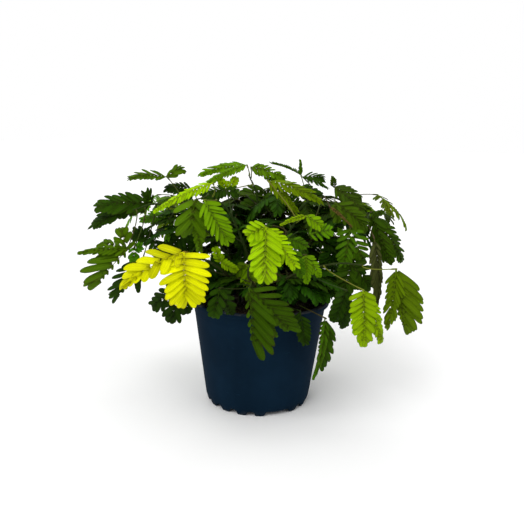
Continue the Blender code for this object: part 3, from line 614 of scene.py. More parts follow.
def cones(feet, tips, radius, tint=0.3, slot=1):
    """Three-sided bristles from feet to tips."""
    run = unit(tips - feet)
    side = square_to(np.cross(run, (0.21, 0.35, 0.91)), run)
    reach = spokes(side, np.cross(run, side), 3)
    wide = feet[:, None] + reach * radius
    narrow = tips[:, None] + reach * (0.2 * radius)
    return loft(np.stack((wide, narrow), 1), np.zeros(2), tint, 1.0, slot)


def leaflets(base, out, up, length, width, thickness, curl, tint, look):
    """Leaflets, one for each row: a flat section carried along a drooping line.

    The half width grows from 0.9 of its largest at the base to all of it at 0.6 of the length, as the sine
    of a quarter turn, and ends as the quarter ellipse (1 - ((u - 0.66) / 0.34)^2)^0.5. The line falls by curl
    times u squared, the halves rise as a shallow V, and the margin waves a little.
    """
    cross = np.cross(out, up)
    u = look["stations"]
    outline = 0.9 + 0.1 * np.sin(0.5 * math.pi * np.minimum(u / 0.6, 1.0))
    outline = outline * np.maximum(0.24, np.sqrt(1 - np.clip((u - 0.66) / 0.34, 0, 1) ** 2))
    half = 0.5 * width[:, None] * outline
    wave = np.sin(9 * u[None, :] + 40 * tint[:, None])[:, :, None] * ACROSS ** 2 * 0.08 * half[:, :, None]
    body = 0.5 * thickness * SIDE * np.minimum(1.0, 4.0 * outline)[:, None]
    rib = np.where(ACROSS == 0.0, np.where(SIDE > 0, -0.07, -0.09), 0.0)
    valley = 0.26 * np.abs(ACROSS) * half[:, :, None]
    lift = wave + body + rib + valley - (curl[:, None] * u ** 2 * length[:, None])[:, :, None]
    reach = length[:, None] * (u - 0.12 * np.abs(curl[:, None]) * u ** 3)
    middle = base[:, None] + out[:, None] * reach[:, :, None]
    rings = (middle[:, :, None] + cross[:, None, None] * (half[:, :, None] * ACROSS)[..., None]
             + up[:, None, None] * lift[..., None])
    uv = np.stack(np.broadcast_arrays(u[None, :, None], 0.5 + 0.5 * ACROSS), -1)
    return loft(rings, uv, tint[:, None, None], SIDE, 0, look["shade"], look["red"])


def pinna(hub, tip, width, lay, turn, look, settings, rng):
    """Pinna: a tapering rib on a bowed line, and pairs of leaflets that lean further forward to its end.

    The rib is a quadratic curve that bows to the face by 0.13 of its chord. Leaflet length is
    width (0.84 + 0.5 g - 0.68 g^2) (1 - taper g^3) at share g of the pairs, and lean goes from spread to
    end as g^1.2.
    A leaflet is as broad as its tip is away from its neighbour's, times breadth, and at most half its length.
    """
    chord = tip - hub
    length = np.linalg.norm(chord)
    lay = math.radians(lay)
    turn = math.radians(turn)
    folded = look["folded"]
    front = np.array((math.sin(turn) * math.cos(lay), -math.cos(turn) * math.cos(lay), math.sin(lay)))
    face = square_to(front, chord / length)
    bend = (hub + tip) / 2 + face * (0.13 * length)
    run = length - 0.6 * width * (1 - look["taper"])
    end = hub + chord * (run / length)
    pairs = max(4, round(0.94 * run / (look["spacing"] * (1.0 + 0.16 * width))) + 1)
    pitch = 0.94 * run / (pairs - 1)
    kept = rng.random(2 * pairs) >= look["lost"]
    many = int(kept.sum())
    grown = np.repeat(np.arange(pairs) / (pairs - 1), 2)[kept]
    hand = np.tile((1.0, -1.0), pairs)[kept]
    share = np.clip(0.06 + 0.94 * grown + rng.normal(0.0, 0.006, many), 0.05, 0.995)
    point = bezier(hub, bend, end, share)
    ahead = unit(bezier(hub, bend, end, share + 0.02) - point)
    normal = square_to(np.broadcast_to(face, ahead.shape), ahead)
    side = np.cross(ahead, normal) * hand[:, None]
    lean = look["spread"] + (look["end"] - look["spread"]) * grown ** 1.2
    lean = np.radians(np.maximum(8, lean - 40 * folded) + rng.normal(0.0, 3.0, many))[:, None]
    drop = math.tan(math.radians(look["roof"])) + rng.normal(0.0, 0.06, many)[:, None] - 1.1 * folded
    out = unit(side * np.sin(lean) + ahead * np.cos(lean) - normal * drop)
    up = square_to(normal, out)
    roll = np.radians(15.0 + rng.normal(0.0, 6.0, many))[:, None] * hand[:, None]
    up = up * np.cos(roll) + np.cross(out, up) * np.sin(roll)
    size = width * (0.84 + 0.5 * grown - 0.68 * grown ** 2) * (1 - look["taper"] * grown ** 3)
    size = size * (1 + look["bias"] * hand + rng.normal(0.0, 0.05, many))
    middle = math.radians(0.5 * (look["spread"] + look["end"]))
    apart = pitch * math.sin(middle) + 0.9 * width * math.radians(look["spread"] - look["end"]) / (pairs - 1)
    broad = look["breadth"] * apart * (1 - 0.12 * grown ** 2) * (1 + rng.normal(0.0, 0.05, many))
    broad = np.minimum(broad, 0.5 * size)
    curl = 0.08 + rng.normal(0.0, 0.06, many)
    tint = np.clip(rng.normal(0.5, 0.2, many), 0.0, 1.0)
    blades = leaflets(point + out * 0.1, out, up, size, broad, settings.thickness, curl, tint, look)
    line = bezier(hub, bend, end, np.linspace(0.0, 0.99, RIB_POINTS))
    radii = np.interp(np.linspace(0, 1, RIB_POINTS), (0.0, 0.06, 0.14, 1.0), (0.55, 0.56, 0.3, 0.16))
    rib = tube(line, radii * (0.7 + 0.02 * width), 6, 0.2, 0)
    # The rib takes the leaf's brightness too, painted light and shade included
    rib["shade"] = rib["shade"] * 0.9 * look["shade"]
    rib["red"] = rib["red"] * look["red"]
    rib["uv"] = np.full(rib["uv"].shape, (0.6, 0.5))
    return [blades, rib]


def pinna_look(name, number):
    """The look of a leaf's pinna: the usual one with what the leaf has of its own."""
    look = {**USUAL_LOOK, **LEAF_LOOKS.get(name, {})}
    return {key: value[number] if isinstance(value, tuple) else value for key, value in look.items()}


def shaded_look(hub, rng, painted_light_gain):
    """The usual look, with a little chance in it: painted light makes a leaf that stands high or deep on the
    right brighter, and one at the back is yellower."""
    # Painted light: the higher the hub, and the further right a low hub, the brighter the tissue
    deep = min(1.0, max(0.0, (112.0 - hub[2]) / 15.0))
    lift = 0.7 + 0.011 * max(0.0, hub[2] - 95.0) + 0.02 * deep * min(40.0, max(0.0, hub[0] - 5.0))
    spread = rng.uniform(46, 64)
    shade = painted_light_gain * lift * rng.uniform(0.75, 1.6)
    red = rng.uniform(0.6, 1.2) + (0.35 if hub[1] > 14.0 else 0.0)
    return {**USUAL_LOOK, "shade": shade, "red": red, "spread": spread, "stations": SHADE_STATIONS}


def stalk(path, radii, share, hub, settings, rng):
    """Leaf stalk: square off the stem, arched to the hub, swollen at both ends, with short bristles."""
    foot, run = along(path, share)
    thick = radii[0] + (radii[1] - radii[0]) * share
    out = square_to(hub - foot, run)
    start = foot + out * (0.4 * thick)
    span = np.linalg.norm(hub - start)
    lifted = start + out * (0.3 * span) + np.array((0, 0, 0.1 * span))
    t = np.linspace(0.0, 1.0, STALK_POINTS)
    line = bezier(start, lifted, hub, t)
    far = 1 - 1.6 / max(span, 4.0)
    near = 2.2 / max(span, 4.0)
    swell = np.interp(t, (0.0, near, 2 * near, far - 0.02, far, 1.0), (1.9, 1.7, 1.1, 0.9, 1.7, 1.5))
    shells = [tube(line, settings.stalk_radius * swell, 8)]
    knob = np.stack([hub + (hub - line[-2]) * k for k in (-0.4, 0.0, 0.3, 0.5)])
    shells.append(tube(knob, settings.stalk_radius * np.array((1.3, 1.7, 1.4, 0.5)), 8))
    if settings.bristle > 0:
        count = int(span / 2.6) + 2
        at = rng.uniform(0.04, 0.93, count)
        feet = bezier(start, lifted, hub, at)
        ahead = unit(bezier(start, lifted, hub, at + 0.02) - feet)
        heading = square_to(rng.normal(0.0, 1.0, (count, 3)), ahead)
        long = 0.45 * settings.bristle * rng.uniform(0.6, 1.2, count)[:, None]
        tips = feet + heading * (0.4 + long) + np.array((0, 0, 0.15))
        shells.append(cones(feet + heading * 0.3, tips, 0.07))
    return shells


def stem_shells(path, radii, settings, rng, slot):
    """Stem: a tapering tube with a swelling at each joint, slightly uneven, and bristles that point up it."""
    steps = len(path)
    share = np.linspace(0.0, 1.0, steps)
    radius = (0.85 - 0.3 * share ** 2) * (radii[0] + (radii[1] - radii[0]) * share)
    joint = np.exp(-((share[:, None] - np.arange(0.28, 1.01, 0.12)) / 0.012) ** 2).sum(1)
    radius = radius * (1 + 0.22 * joint + 0.04 * np.sin(60 * share))
    shells = [tube(path, radius, 10, slot=slot)]
    if settings.bristle > 0:
        index = rng.integers(int(0.27 * steps), steps - 1, STEM_BRISTLES)
        run = unit(path[index + 1] - path[index])
        heading = square_to(rng.normal(0.0, 1.0, (STEM_BRISTLES, 3)), run)
        feet = path[index] + heading * (0.85 * radius[index])[:, None]
        long = settings.bristle * rng.uniform(0.5, 1.1, STEM_BRISTLES)[:, None]
        shells.append(cones(feet, feet + (heading + 0.35 * run) * long, 0.11, slot=slot))
    return shells


def add_piece(name, shells, materials, node):
    """Mesh object of all the shells in metres, riding on the root, and hiding the frame part of its node if
    it has one.
    """
    starts = np.cumsum([0] + [len(shell["points"]) for shell in shells])
    points = joined(shells, "points") * MM
    quads = np.concatenate([shell["quads"] + at for shell, at in zip(shells, starts)])
    fans = np.concatenate([shell["fans"] + at for shell, at in zip(shells, starts)])
    corners = np.concatenate((quads.ravel(), fans.ravel())).astype(np.int32)
    first = np.concatenate((np.arange(len(quads)) * 4, len(quads) * 4 + np.arange(len(fans)) * 3))
    slots = [np.full(len(shell[kind]), shell["slot"]) for kind in ("quads", "fans") for shell in shells]
    mesh = bpy.data.meshes.new(name)
    mesh.vertices.add(len(points))
    mesh.vertices.foreach_set("co", points.astype(np.float32).ravel())
    mesh.loops.add(len(corners))
    mesh.loops.foreach_set("vertex_index", corners)
    mesh.polygons.add(len(first))
    mesh.polygons.foreach_set("loop_start", first.astype(np.int32))
    mesh.update(calc_edges=True)
    mesh.polygons.foreach_set("use_smooth", np.ones(len(first), bool))
    mesh.polygons.foreach_set("material_index", np.concatenate(slots).astype(np.int32))
    uv = joined(shells, "uv")[corners]
    mesh.uv_layers.new(name="leaf").data.foreach_set("uv", uv.astype(np.float32).ravel())
    for key in POINT_VALUES:
        values = joined(shells, key).astype(np.float32)
        mesh.attributes.new(key, "FLOAT", "POINT").data.foreach_set("value", values)
    mesh.set_sharp_from_angle(angle=CREASE)
    for material in materials:
        mesh.materials.append(material)
    if mesh.validate():
        raise ValueError(name + " has faulty faces")
    piece = bpy.data.objects.new(name, mesh)
    bpy.context.scene.collection.objects.link(piece)
    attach(piece, "root")
    if node:
        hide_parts(node)


def joined(shells, key):
    """One array of what all the shells hold under a key."""
    return np.concatenate([shell[key] for shell in shells])


# Finishes


def put(tree, kind, sockets=None, **settings):
    """Add a node; sockets gives values or other nodes' outputs for its inputs."""
    made = tree.nodes.new(kind)
    for key, value in settings.items():
        setattr(made, key, value)
    for key, value in (sockets or {}).items():
        if isinstance(value, bpy.types.NodeSocket):
            tree.links.new(value, made.inputs[key])
        else:
            made.inputs[key].default_value = value
    return made


def maths(tree, operation, a, b=0.0, clamp=False):
    """Output of a Math node."""
    return put(tree, "ShaderNodeMath", {0: a, 1: b}, operation=operation, use_clamp=clamp).outputs[0]


def times(tree, a, b):
    """Product of two values."""
    return maths(tree, "MULTIPLY", a, b)


def ramp(tree, value, low, high, start=0.0, end=1.0):
    """A value's range low to high turned smoothly into start to end."""
    sockets = {"Value": value, "From Min": low, "From Max": high, "To Min": start, "To Max": end}
    return put(tree, "ShaderNodeMapRange", sockets, interpolation_type="SMOOTHSTEP").outputs[0]


def blend(tree, share, a, b, kind="MIX"):
    """Colour that goes from a to b by a share."""
    mixed = put(tree, "ShaderNodeMix", {0: share, 6: a, 7: b}, data_type="RGBA", blend_type=kind)
    return mixed.outputs[2]


def noise(tree, place, scale, detail=3.0, roughness=0.5):
    """Output of a Noise Texture node."""
    sockets = {"Vector": place, "Scale": scale, "Detail": detail, "Roughness": roughness}
    return put(tree, "ShaderNodeTexNoise", sockets).outputs[0]


def stretched(tree, place, scale, turn=(0.0, 0.0, 0.0)):
    """Coordinates scaled and turned, which draws a noise out."""
    return put(tree, "ShaderNodeMapping", {"Vector": place, "Scale": scale, "Rotation": turn}).outputs[0]


def level(tree, place):
    """Height above the floor."""
    return put(tree, "ShaderNodeSeparateXYZ", {0: place}).outputs[2]


def attribute(tree, name):
    """Value that the mesh holds for each point."""
    return put(tree, "ShaderNodeAttribute", attribute_name=name).outputs["Fac"]


def tinted(tree, tone, factors):
    """Colour times a factor for each channel."""
    return put(tree, "ShaderNodeVectorMath", {0: tone, 1: factors}, operation="MULTIPLY").outputs[0]


def bumped(tree, height, strength, distance):
    """Normal that a height tilts."""
    sockets = {"Height": height, "Strength": strength, "Distance": distance}
    return put(tree, "ShaderNodeBump", sockets).outputs[0]


def coat(tree, tone, rough, specular, normal=None):
    """Surface of one colour, roughness, gloss and normal."""
    sockets = {"Base Color": tone, "Roughness": rough, "Specular IOR Level": specular}
    if normal:
        sockets["Normal"] = normal
    return put(tree, "ShaderNodeBsdfPrincipled", sockets).outputs[0]


def fresh_material(name):
    """Empty node material, its tree and the object coordinates."""
    material = bpy.data.materials.new(name)
    material.use_nodes = True
    tree = material.node_tree
    tree.nodes.clear()
    return material, tree, tree.nodes.new("ShaderNodeTexCoord").outputs["Object"]


def finished(material, surface):
    """The material with its surface wired to the output."""
    put(material.node_tree, "ShaderNodeOutputMaterial", {"Surface": surface})
    return material


def opaque(colour, factor=1.0):
    """A colour with its alpha, made lighter or darker by a factor."""
    return (*(min(1.0, channel * factor) for channel in colour), 1.0)


def leaf_material(name, colour, stain, edge):
    """Leaf tissue: each leaflet has its own tint, a paler midrib, slanting side veins, a darker base with a
    dark spot at it, painted shade along its side edges where the leaflets overlap, a margin and tip that are
    stained in places, and a paler underside. Each leaf's brightness, partly its own tone and partly painted
    light and shade, scales it all. Some light goes through it."""
    material, tree, place = fresh_material(name)
    uv = put(tree, "ShaderNodeUVMap", uv_map="leaf").outputs[0]
    parts = put(tree, "ShaderNodeSeparateXYZ", {0: uv})
    run = parts.outputs[0]
    off = maths(tree, "ABSOLUTE", maths(tree, "SUBTRACT", times(tree, parts.outputs[1], 2.0), 1.0))
    tint, below, shade, red = (attribute(tree, key) for key in POINT_VALUES)
    cloud = noise(tree, place, 70.0, 4.0, 0.6)
    slant = maths(tree, "SUBTRACT", times(tree, run, 8.0), times(tree, off, 2.4))
    wave = maths(tree, "ABSOLUTE", maths(tree, "SUBTRACT", maths(tree, "FRACT", slant), 0.5))
    vein = ramp(tree, wave, 0.17, 0.0)
    midrib = ramp(tree, off, 0.14, 0.02)
    mixed = maths(tree, "ADD", times(tree, tint, 0.75), times(tree, cloud, 0.45), True)
    tone = blend(tree, mixed, opaque(colour, 0.62), opaque(colour, 1.3))
    tone = blend(tree, times(tree, vein, 0.22), tone, opaque(colour, 0.55))
    # Each leaflet darker towards its base
    tone = blend(tree, ramp(tree, run, 0.42, 0.0, 0.0, 0.5), tone, opaque(colour, 0.5))
    # Painted shade: the side edges of each leaflet are darkened, standing in for the shadow where
    # neighbouring leaflets overlap
    tone = blend(tree, ramp(tree, off, 0.62, 1.0, 0.0, edge), tone, opaque(colour, 0.42))
    tone = blend(tree, ramp(tree, run, 0.12, 0.03, 0.0, edge), tone, opaque(stain, 0.5))
    pale = (min(1.0, 1.5 * colour[0] + 0.02), min(1.0, 1.35 * colour[1] + 0.02), colour[2] + 0.004, 1.0)
    tone = blend(tree, times(tree, midrib, 0.45), tone, pale)
    margin = maths(tree, "MAXIMUM", ramp(tree, off, 0.72, 1.0), ramp(tree, run, 0.9, 1.0))
    worn = times(tree, margin, ramp(tree, noise(tree, place, 45.0, 2.0), 0.45, 0.64))
    tone = blend(tree, times(tree, worn, 0.75), tone, opaque(stain))
    tone = blend(tree, times(tree, ramp(tree, below, -0.2, -0.9), 0.3), tone, pale)
    # Painted light and shade: the leaf's brightness, with its red, scales the tissue colour
    own = put(tree, "ShaderNodeCombineXYZ", {0: times(tree, shade, red), 1: shade, 2: shade}).outputs[0]
    tone = tinted(tree, tone, own)
    relief = maths(tree, "SUBTRACT", times(tree, noise(tree, place, 900.0, 2.0), 0.35), vein)
    normal = bumped(tree, relief, 0.55, 0.00025)
    rough = maths(tree, "ADD", times(tree, cloud, 0.22), 0.42)
    skin = coat(tree, tone, rough, 0.05, normal)
    through = tinted(tree, tone, (1.25, 1.25, 0.6))
    lit = put(tree, "ShaderNodeBsdfTranslucent", {"Color": through, "Normal": normal}).outputs[0]
    return finished(material, put(tree, "ShaderNodeMixShader", {0: 0.24, 1: skin, 2: lit}).outputs[0])


def stalk_material(name, colour, flush):
    """Green stalk: a noise along it and up it turns the green to the flush colour, over fine ridges."""
    material, tree, place = fresh_material(name)
    patch = ramp(tree, noise(tree, place, 55.0, 3.0), 0.38, 0.66)
    tone = blend(tree, patch, opaque(colour), opaque(flush))
    tone = blend(tree, times(tree, noise(tree, place, 700.0, 2.0), 0.5), tone, opaque(colour, 0.5))
    normal = bumped(tree, noise(tree, place, 1500.0, 2.0), 0.3, 0.0002)
    return finished(material, coat(tree, tone, ramp(tree, patch, 0.0, 1.0, 0.45, 0.6), 0.08, normal))


def bark_material(name, colour):
    """Woody stem: brown below, greener above, with stretched streaks and pale pores."""
    material, tree, place = fresh_material(name)
    long = stretched(tree, place, (1.0, 1.0, 0.22))
    streak = noise(tree, long, 800.0, 3.0)
    green = blend(tree, streak, (0.01, 0.024, 0.003, 1.0), (0.032, 0.058, 0.007, 1.0))
    brown = blend(tree, streak, opaque(colour, 0.4), opaque(colour, 1.5))
    risen = ramp(tree, level(tree, place), 0.08, 0.13, 0.0, 0.85)
    share = maths(tree, "ADD", risen, times(tree, noise(tree, place, 60.0), 0.3), True)
    tone = blend(tree, share, brown, green)
    pores = put(tree, "ShaderNodeTexVoronoi", {"Vector": long, "Scale": 420.0}).outputs[0]
    tone = blend(tree, ramp(tree, pores, 0.16, 0.08, 0.0, 0.4), tone, (0.13, 0.11, 0.055, 1.0))
    normal = bumped(tree, streak, 0.5, 0.0003)
    return finished(material, coat(tree, tone, ramp(tree, streak, 0.2, 0.8, 0.55, 0.75), 0.08, normal))


def pot_material(name, colour):
    """Moulded plastic: fine grain, faint upright flow marks, a few pale scuffs, a dusty foot, and a dusty
    grey band at the lip that is partly a painted highlight.
    """
    material, tree, place = fresh_material(name)
    height = level(tree, place)
    flow = noise(tree, stretched(tree, place, (1.0, 1.0, 0.12)), 60.0, 3.0)
    cloud = noise(tree, place, 28.0, 3.0)
    tone = blend(tree, flow, opaque(colour, 0.72), opaque(colour, 1.3))
    tone = blend(tree, ramp(tree, cloud, 0.4, 0.75, 0.0, 0.5), tone, opaque(colour, 1.7))
    flat = stretched(tree, place, (1.0, 1.0, 7.0), (0.25, 0.1, 0.0))
    scuff = ramp(tree, noise(tree, flat, 90.0, 2.0), 0.7, 0.78, 0.0, 0.35)
    tone = blend(tree, scuff, tone, opaque(colour, 3.2))
    # Grey band at the top of the lip, a dusty film that is partly a painted highlight, and dusty grey at the
    # foot
    lip = ramp(tree, height, 0.0786, 0.0799)
    foot = ramp(tree, height, 0.005, 0.0, 0.0, 0.4)
    patchy = ramp(tree, noise(tree, place, 130.0, 4.0), 0.35, 0.6, 0.0, 0.85)
    dust_and_painted_highlight = times(tree, maths(tree, "MAXIMUM", lip, foot), patchy)
    tone = blend(tree, dust_and_painted_highlight, tone, (0.06, 0.062, 0.062, 1.0))
    relief = maths(tree, "ADD", times(tree, noise(tree, place, 1400.0, 2.0), 0.25), times(tree, flow, 0.8))
    normal = bumped(tree, relief, 0.18, 0.0004)
    worn = maths(tree, "ADD", times(tree, scuff, 0.2), 0.56)
    rough = maths(tree, "ADD", times(tree, cloud, 0.16), worn)
    return finished(material, coat(tree, tone, rough, 0.012, normal))


def soil_material(name, colour):
    """Potting soil: dark fibres and crumbs, with a few pale bits of bark and mineral."""
    material, tree, place = fresh_material(name)
    crumb = noise(tree, place, 320.0, 5.0, 0.65)
    tone = blend(tree, crumb, opaque(colour, 0.35), opaque(colour, 2.6))
    cells = put(tree, "ShaderNodeTexVoronoi", {"Vector": place, "Scale": 260.0})
    pick = put(tree, "ShaderNodeSeparateColor", {0: cells.outputs[1]}).outputs[0]
    bit = times(tree, ramp(tree, pick, 0.86, 0.9), ramp(tree, cells.outputs[0], 0.45, 0.3))
    tone = blend(tree, times(tree, bit, 0.8), tone, (0.14, 0.09, 0.05, 1.0))
    relief = maths(tree, "ADD", crumb, times(tree, noise(tree, place, 1300.0, 3.0), 0.4))
    normal = bumped(tree, relief, 0.9, 0.001)
    return finished(material, coat(tree, tone, ramp(tree, crumb, 0.2, 0.8, 0.98, 0.82), 0.2, normal))


def floor_material(name, colour):
    """Matt studio floor with a barely visible mottle."""
    material, tree, place = fresh_material(name)
    tone = blend(tree, noise(tree, place, 6.0, 2.0), opaque(colour, 0.985), opaque(colour, 1.01))
    return finished(material, coat(tree, tone, 0.9, 0.1))


def shared_material(name, make, *values):
    """The material of this name, made once."""
    return bpy.data.materials.get(name) or make(name, *values)


def tone_materials(tone):
    """Leaf and stalk material of a tone."""
    colour = tuple(getattr(bpy.context.scene.plant_leaves, tone))
    stain = STAINS.get(tone, (0.13, 0.11, 0.02))
    # How strongly the painted shade along a leaflet's side edges, and the dark spot at its base, show for
    # each tone
    edge = {"yellow": 0.3, "lime": 0.45}.get(tone, 0.55)
    blade = shared_material("leaflet_" + tone, leaf_material, colour, stain, edge)
    pair = STALK_COLOURS.get(tone, ((0.06, 0.1, 0.012), (0.07, 0.05, 0.014)))
    return blade, shared_material("stalk_" + tone, stalk_material, *pair)


# Leaves of the leafy stems


def turned(foot, heading, rise, reach):
    """Point that lies out from a foot at a heading, with a rise per unit of reach."""
    return foot + np.array((math.cos(heading), math.sin(heading), rise)) * reach


def hanging_blade(hub, angle, fall, size):
    """Tip of a pinna that points at an angle in the plane and falls from its hub, and its face's turn."""
    out = np.array((math.cos(angle), math.sin(angle), 0))
    tip = hub + (out * math.cos(fall) - np.array((0, 0, math.sin(fall)))) * size
    return tip, math.degrees(math.atan2(out[0], -out[1]))


def seeded_leaves(path, seed):
    """Leaves of a back stem, left and right of it in turn, hanging outward, as in the frame: share of the
    stem, hub and pinnae of each."""
    rng = random.Random(seed)
    found = []
    for index, share in enumerate(BACK_SHARES):
        foot, run = along(path, share)
        heading = math.atan2(run[1], run[0])
        side = 0 if share == 1.0 else (1 if index % 2 else -1)
        heading += math.radians(side * rng.uniform(48, 62))
        reach = rng.uniform(22, 28)
        hub = turned(foot, heading, rng.uniform(0.1, 0.35), reach)
        blades = []
        for spread in (-34, 34):
            angle = heading + math.radians(spread + rng.uniform(-6, 6))
            fall = math.radians(rng.uniform(18, 58))
            tip, turn = hanging_blade(hub, angle, fall, rng.uniform(34, 42))
            blades.append((tip, rng.uniform(9, 11), HANGING_LAY, turn))
        found.append((share, hub, blades))
    return found


def grid_blades(pinnae, depth):
    """Pinnae that are given in the front grid, with their tips as points."""
    return [
        (sighted(across, down, depth + past), width, lay, turn)
        for across, down, past, width, lay, turn in pinnae
    ]


def grid_leaves(leaves):
    """Leaves of a leafy stem that are given in the front grid, with hubs and tips as points."""
    return [
        (share, sighted(*place, depth), grid_blades(pinnae, depth)) for share, depth, place, pinnae in leaves
    ]


def filling_leaves(path, count, first, steep, rng):
    """More leaves round a stem from its first share on, each a golden angle on from the last, with two spread
    pinnae that fall outward by up to the steep angle."""
    found = []
    for index in range(count):
        share = first + (0.98 - first) * (index + 0.5) / count
        foot = along(path, share)[0]
        heading = 2.4 * index + rng.uniform(-0.4, 0.4)
        reach = rng.uniform(13, 23)
        hub = turned(foot, heading, rng.uniform(0.05, 0.4), reach)
        blades = []
        for spread in (-0.55, 0.55):
            angle = heading + spread + rng.uniform(-0.15, 0.15)
            fall = rng.uniform(0.0, steep)
            tip, turn = hanging_blade(hub, angle, fall, rng.uniform(26, 36))
            blades.append((tip, rng.uniform(9, 12), HANGING_LAY, turn))
        found.append((share, hub, blades))
    return found


def leafy_shells(path, radii, found, painted_light_gain, settings, rng):
    """Stalks and pinnae of the leaves found for a leafy stem."""
    shells = []
    for share, hub, blades in found:
        shells += stalk(path, radii, share, hub, settings, rng)
        look = shaded_look(hub, rng, painted_light_gain)
        for tip, width, lay, turn in blades:
            shells += pinna(hub, tip, width, lay, turn, look, settings, rng)
    return shells


def inside(points, low, high):
    """Whether all the points lie between two corners."""
    return bool(np.all(points >= low) and np.all(points <= high))


def wall_inside(pot, height):
    """Inner radius of the pot's wall at a height."""
    top = pot.rim_radius - pot.overhang
    return pot.foot_radius + (top - pot.foot_radius) * height / pot.height - pot.wall


# Pieces and stage


class PLANT_OT_pot(bpy.types.Operator):
    """Turn the pot: one closed wall with a rolled lip, a faint shoulder and a foot edge cut into lobes."""

    bl_idname = "plant.pot"
    bl_label = "Pot"

    def execute(self, context):
        pot = context.scene.plant_pot
        points = np.arange(pot.lobes * LOBE_STEPS)
        turn = full_turn(len(points)) + LOBE_TURN
        across = 2 * ((points % LOBE_STEPS) / LOBE_STEPS) - 1
        ease = np.clip((np.abs(across) - 0.42) / 0.34, 0, 1)
        notch = 0.98 * pot.lobe_height
        lobe = notch * ease ** 2 * (3 - 2 * ease)
        broken = points // LOBE_STEPS == LOST_LOBE
        lobe = np.where(broken, np.maximum(lobe, notch * (0.82 - 0.18 * across)), lobe)
        rim = pot.rim_radius
        tall = pot.height
        base = pot.foot_radius
        foot = pot.lobe_height
        top = rim - pot.overhang
        inner = top - pot.wall
        slope = (top - base) / tall

        def outside(height, out=0.0, lift=0.0, cut=0):
            """Row of the profile at a height of the wall, moved out and up."""
            return base + slope * height + out, height + lift, cut

        def hollow(height, out=0.0, lift=0.0):
            """Row of the profile on the wall's inner side."""
            return base + slope * height - pot.wall + out, height + lift, 0

        under = tall - pot.lip_depth
        floor = FLOOR_THICKNESS + foot
        shoulder = 0.86 * tall
        # radius, height, share of the lobe's cut
        profile = np.array((
            (POLE, 0.0, 0), (PAD_RADIUS - 7.0, 0.0, 0), (PAD_RADIUS - 0.6, 0.0, 0), (PAD_RADIUS, 0.15, 0),
            (PAD_RADIUS + 1.3, foot - 0.3, 0), (PAD_RADIUS + 2.0, foot, 0),
            (base - 4.0, foot, 0), (base - 3.2, foot - 0.4, 0.1), (base - 2.5, 0.35, 1), (base - 2.2, 0.0, 1),
            (base - 1.0, 0.0, 1), (base - 0.75, 0.3, 1),
            outside(1.6, -0.45, 0.0, 0.5), outside(foot, -0.3, 0.2), outside(foot + 0.7, 0.0, 0.2),
            *(outside(height) for height in (8.0, 20.0, 34.0, 48.0, 60.0, shoulder - 0.8)),
            outside(shoulder - 0.3, 0.02), outside(shoulder, 0.12), outside(shoulder + 0.4, 0.1),
            outside(under - 1.2), outside(under - 0.4, 0.1), outside(under, 0.5, -0.05),
            (rim - 0.6, under, 0), (rim - 0.15, under + 0.15, 0), (rim, under + 0.6, 0),
            (rim, tall - 1.1, 0), (rim - 0.12, tall - 0.5, 0), (rim - 0.45, tall - 0.12, 0),
            (rim - 0.9, tall, 0), (inner + 0.5, tall, 0), (inner + 0.12, tall - 0.15, 0),
            (inner - 0.05, tall - 0.6, 0),
            hollow(70.0), hollow(40.0), hollow(floor, 0.0, 0.6), hollow(floor, -0.6),
            (PAD_RADIUS - 7.0, floor, 0), (POLE, floor, 0),
        ))
        radius = profile[:, 0, None] + 0 * turn
        height = profile[:, 1, None] + profile[:, 2, None] * lobe
        rings = np.stack((radius * np.cos(turn), radius * np.sin(turn), height), -1)
        uv = np.stack(np.broadcast_arrays(profile[:, 1, None] / tall, turn / (2 * math.pi)), -1)
        plastic = shared_material("pot_plastic", pot_material, tuple(pot.colour))
        add_piece("nursery_pot", [loft(rings[None], uv)], [plastic], "pot")
        return {"FINISHED"}


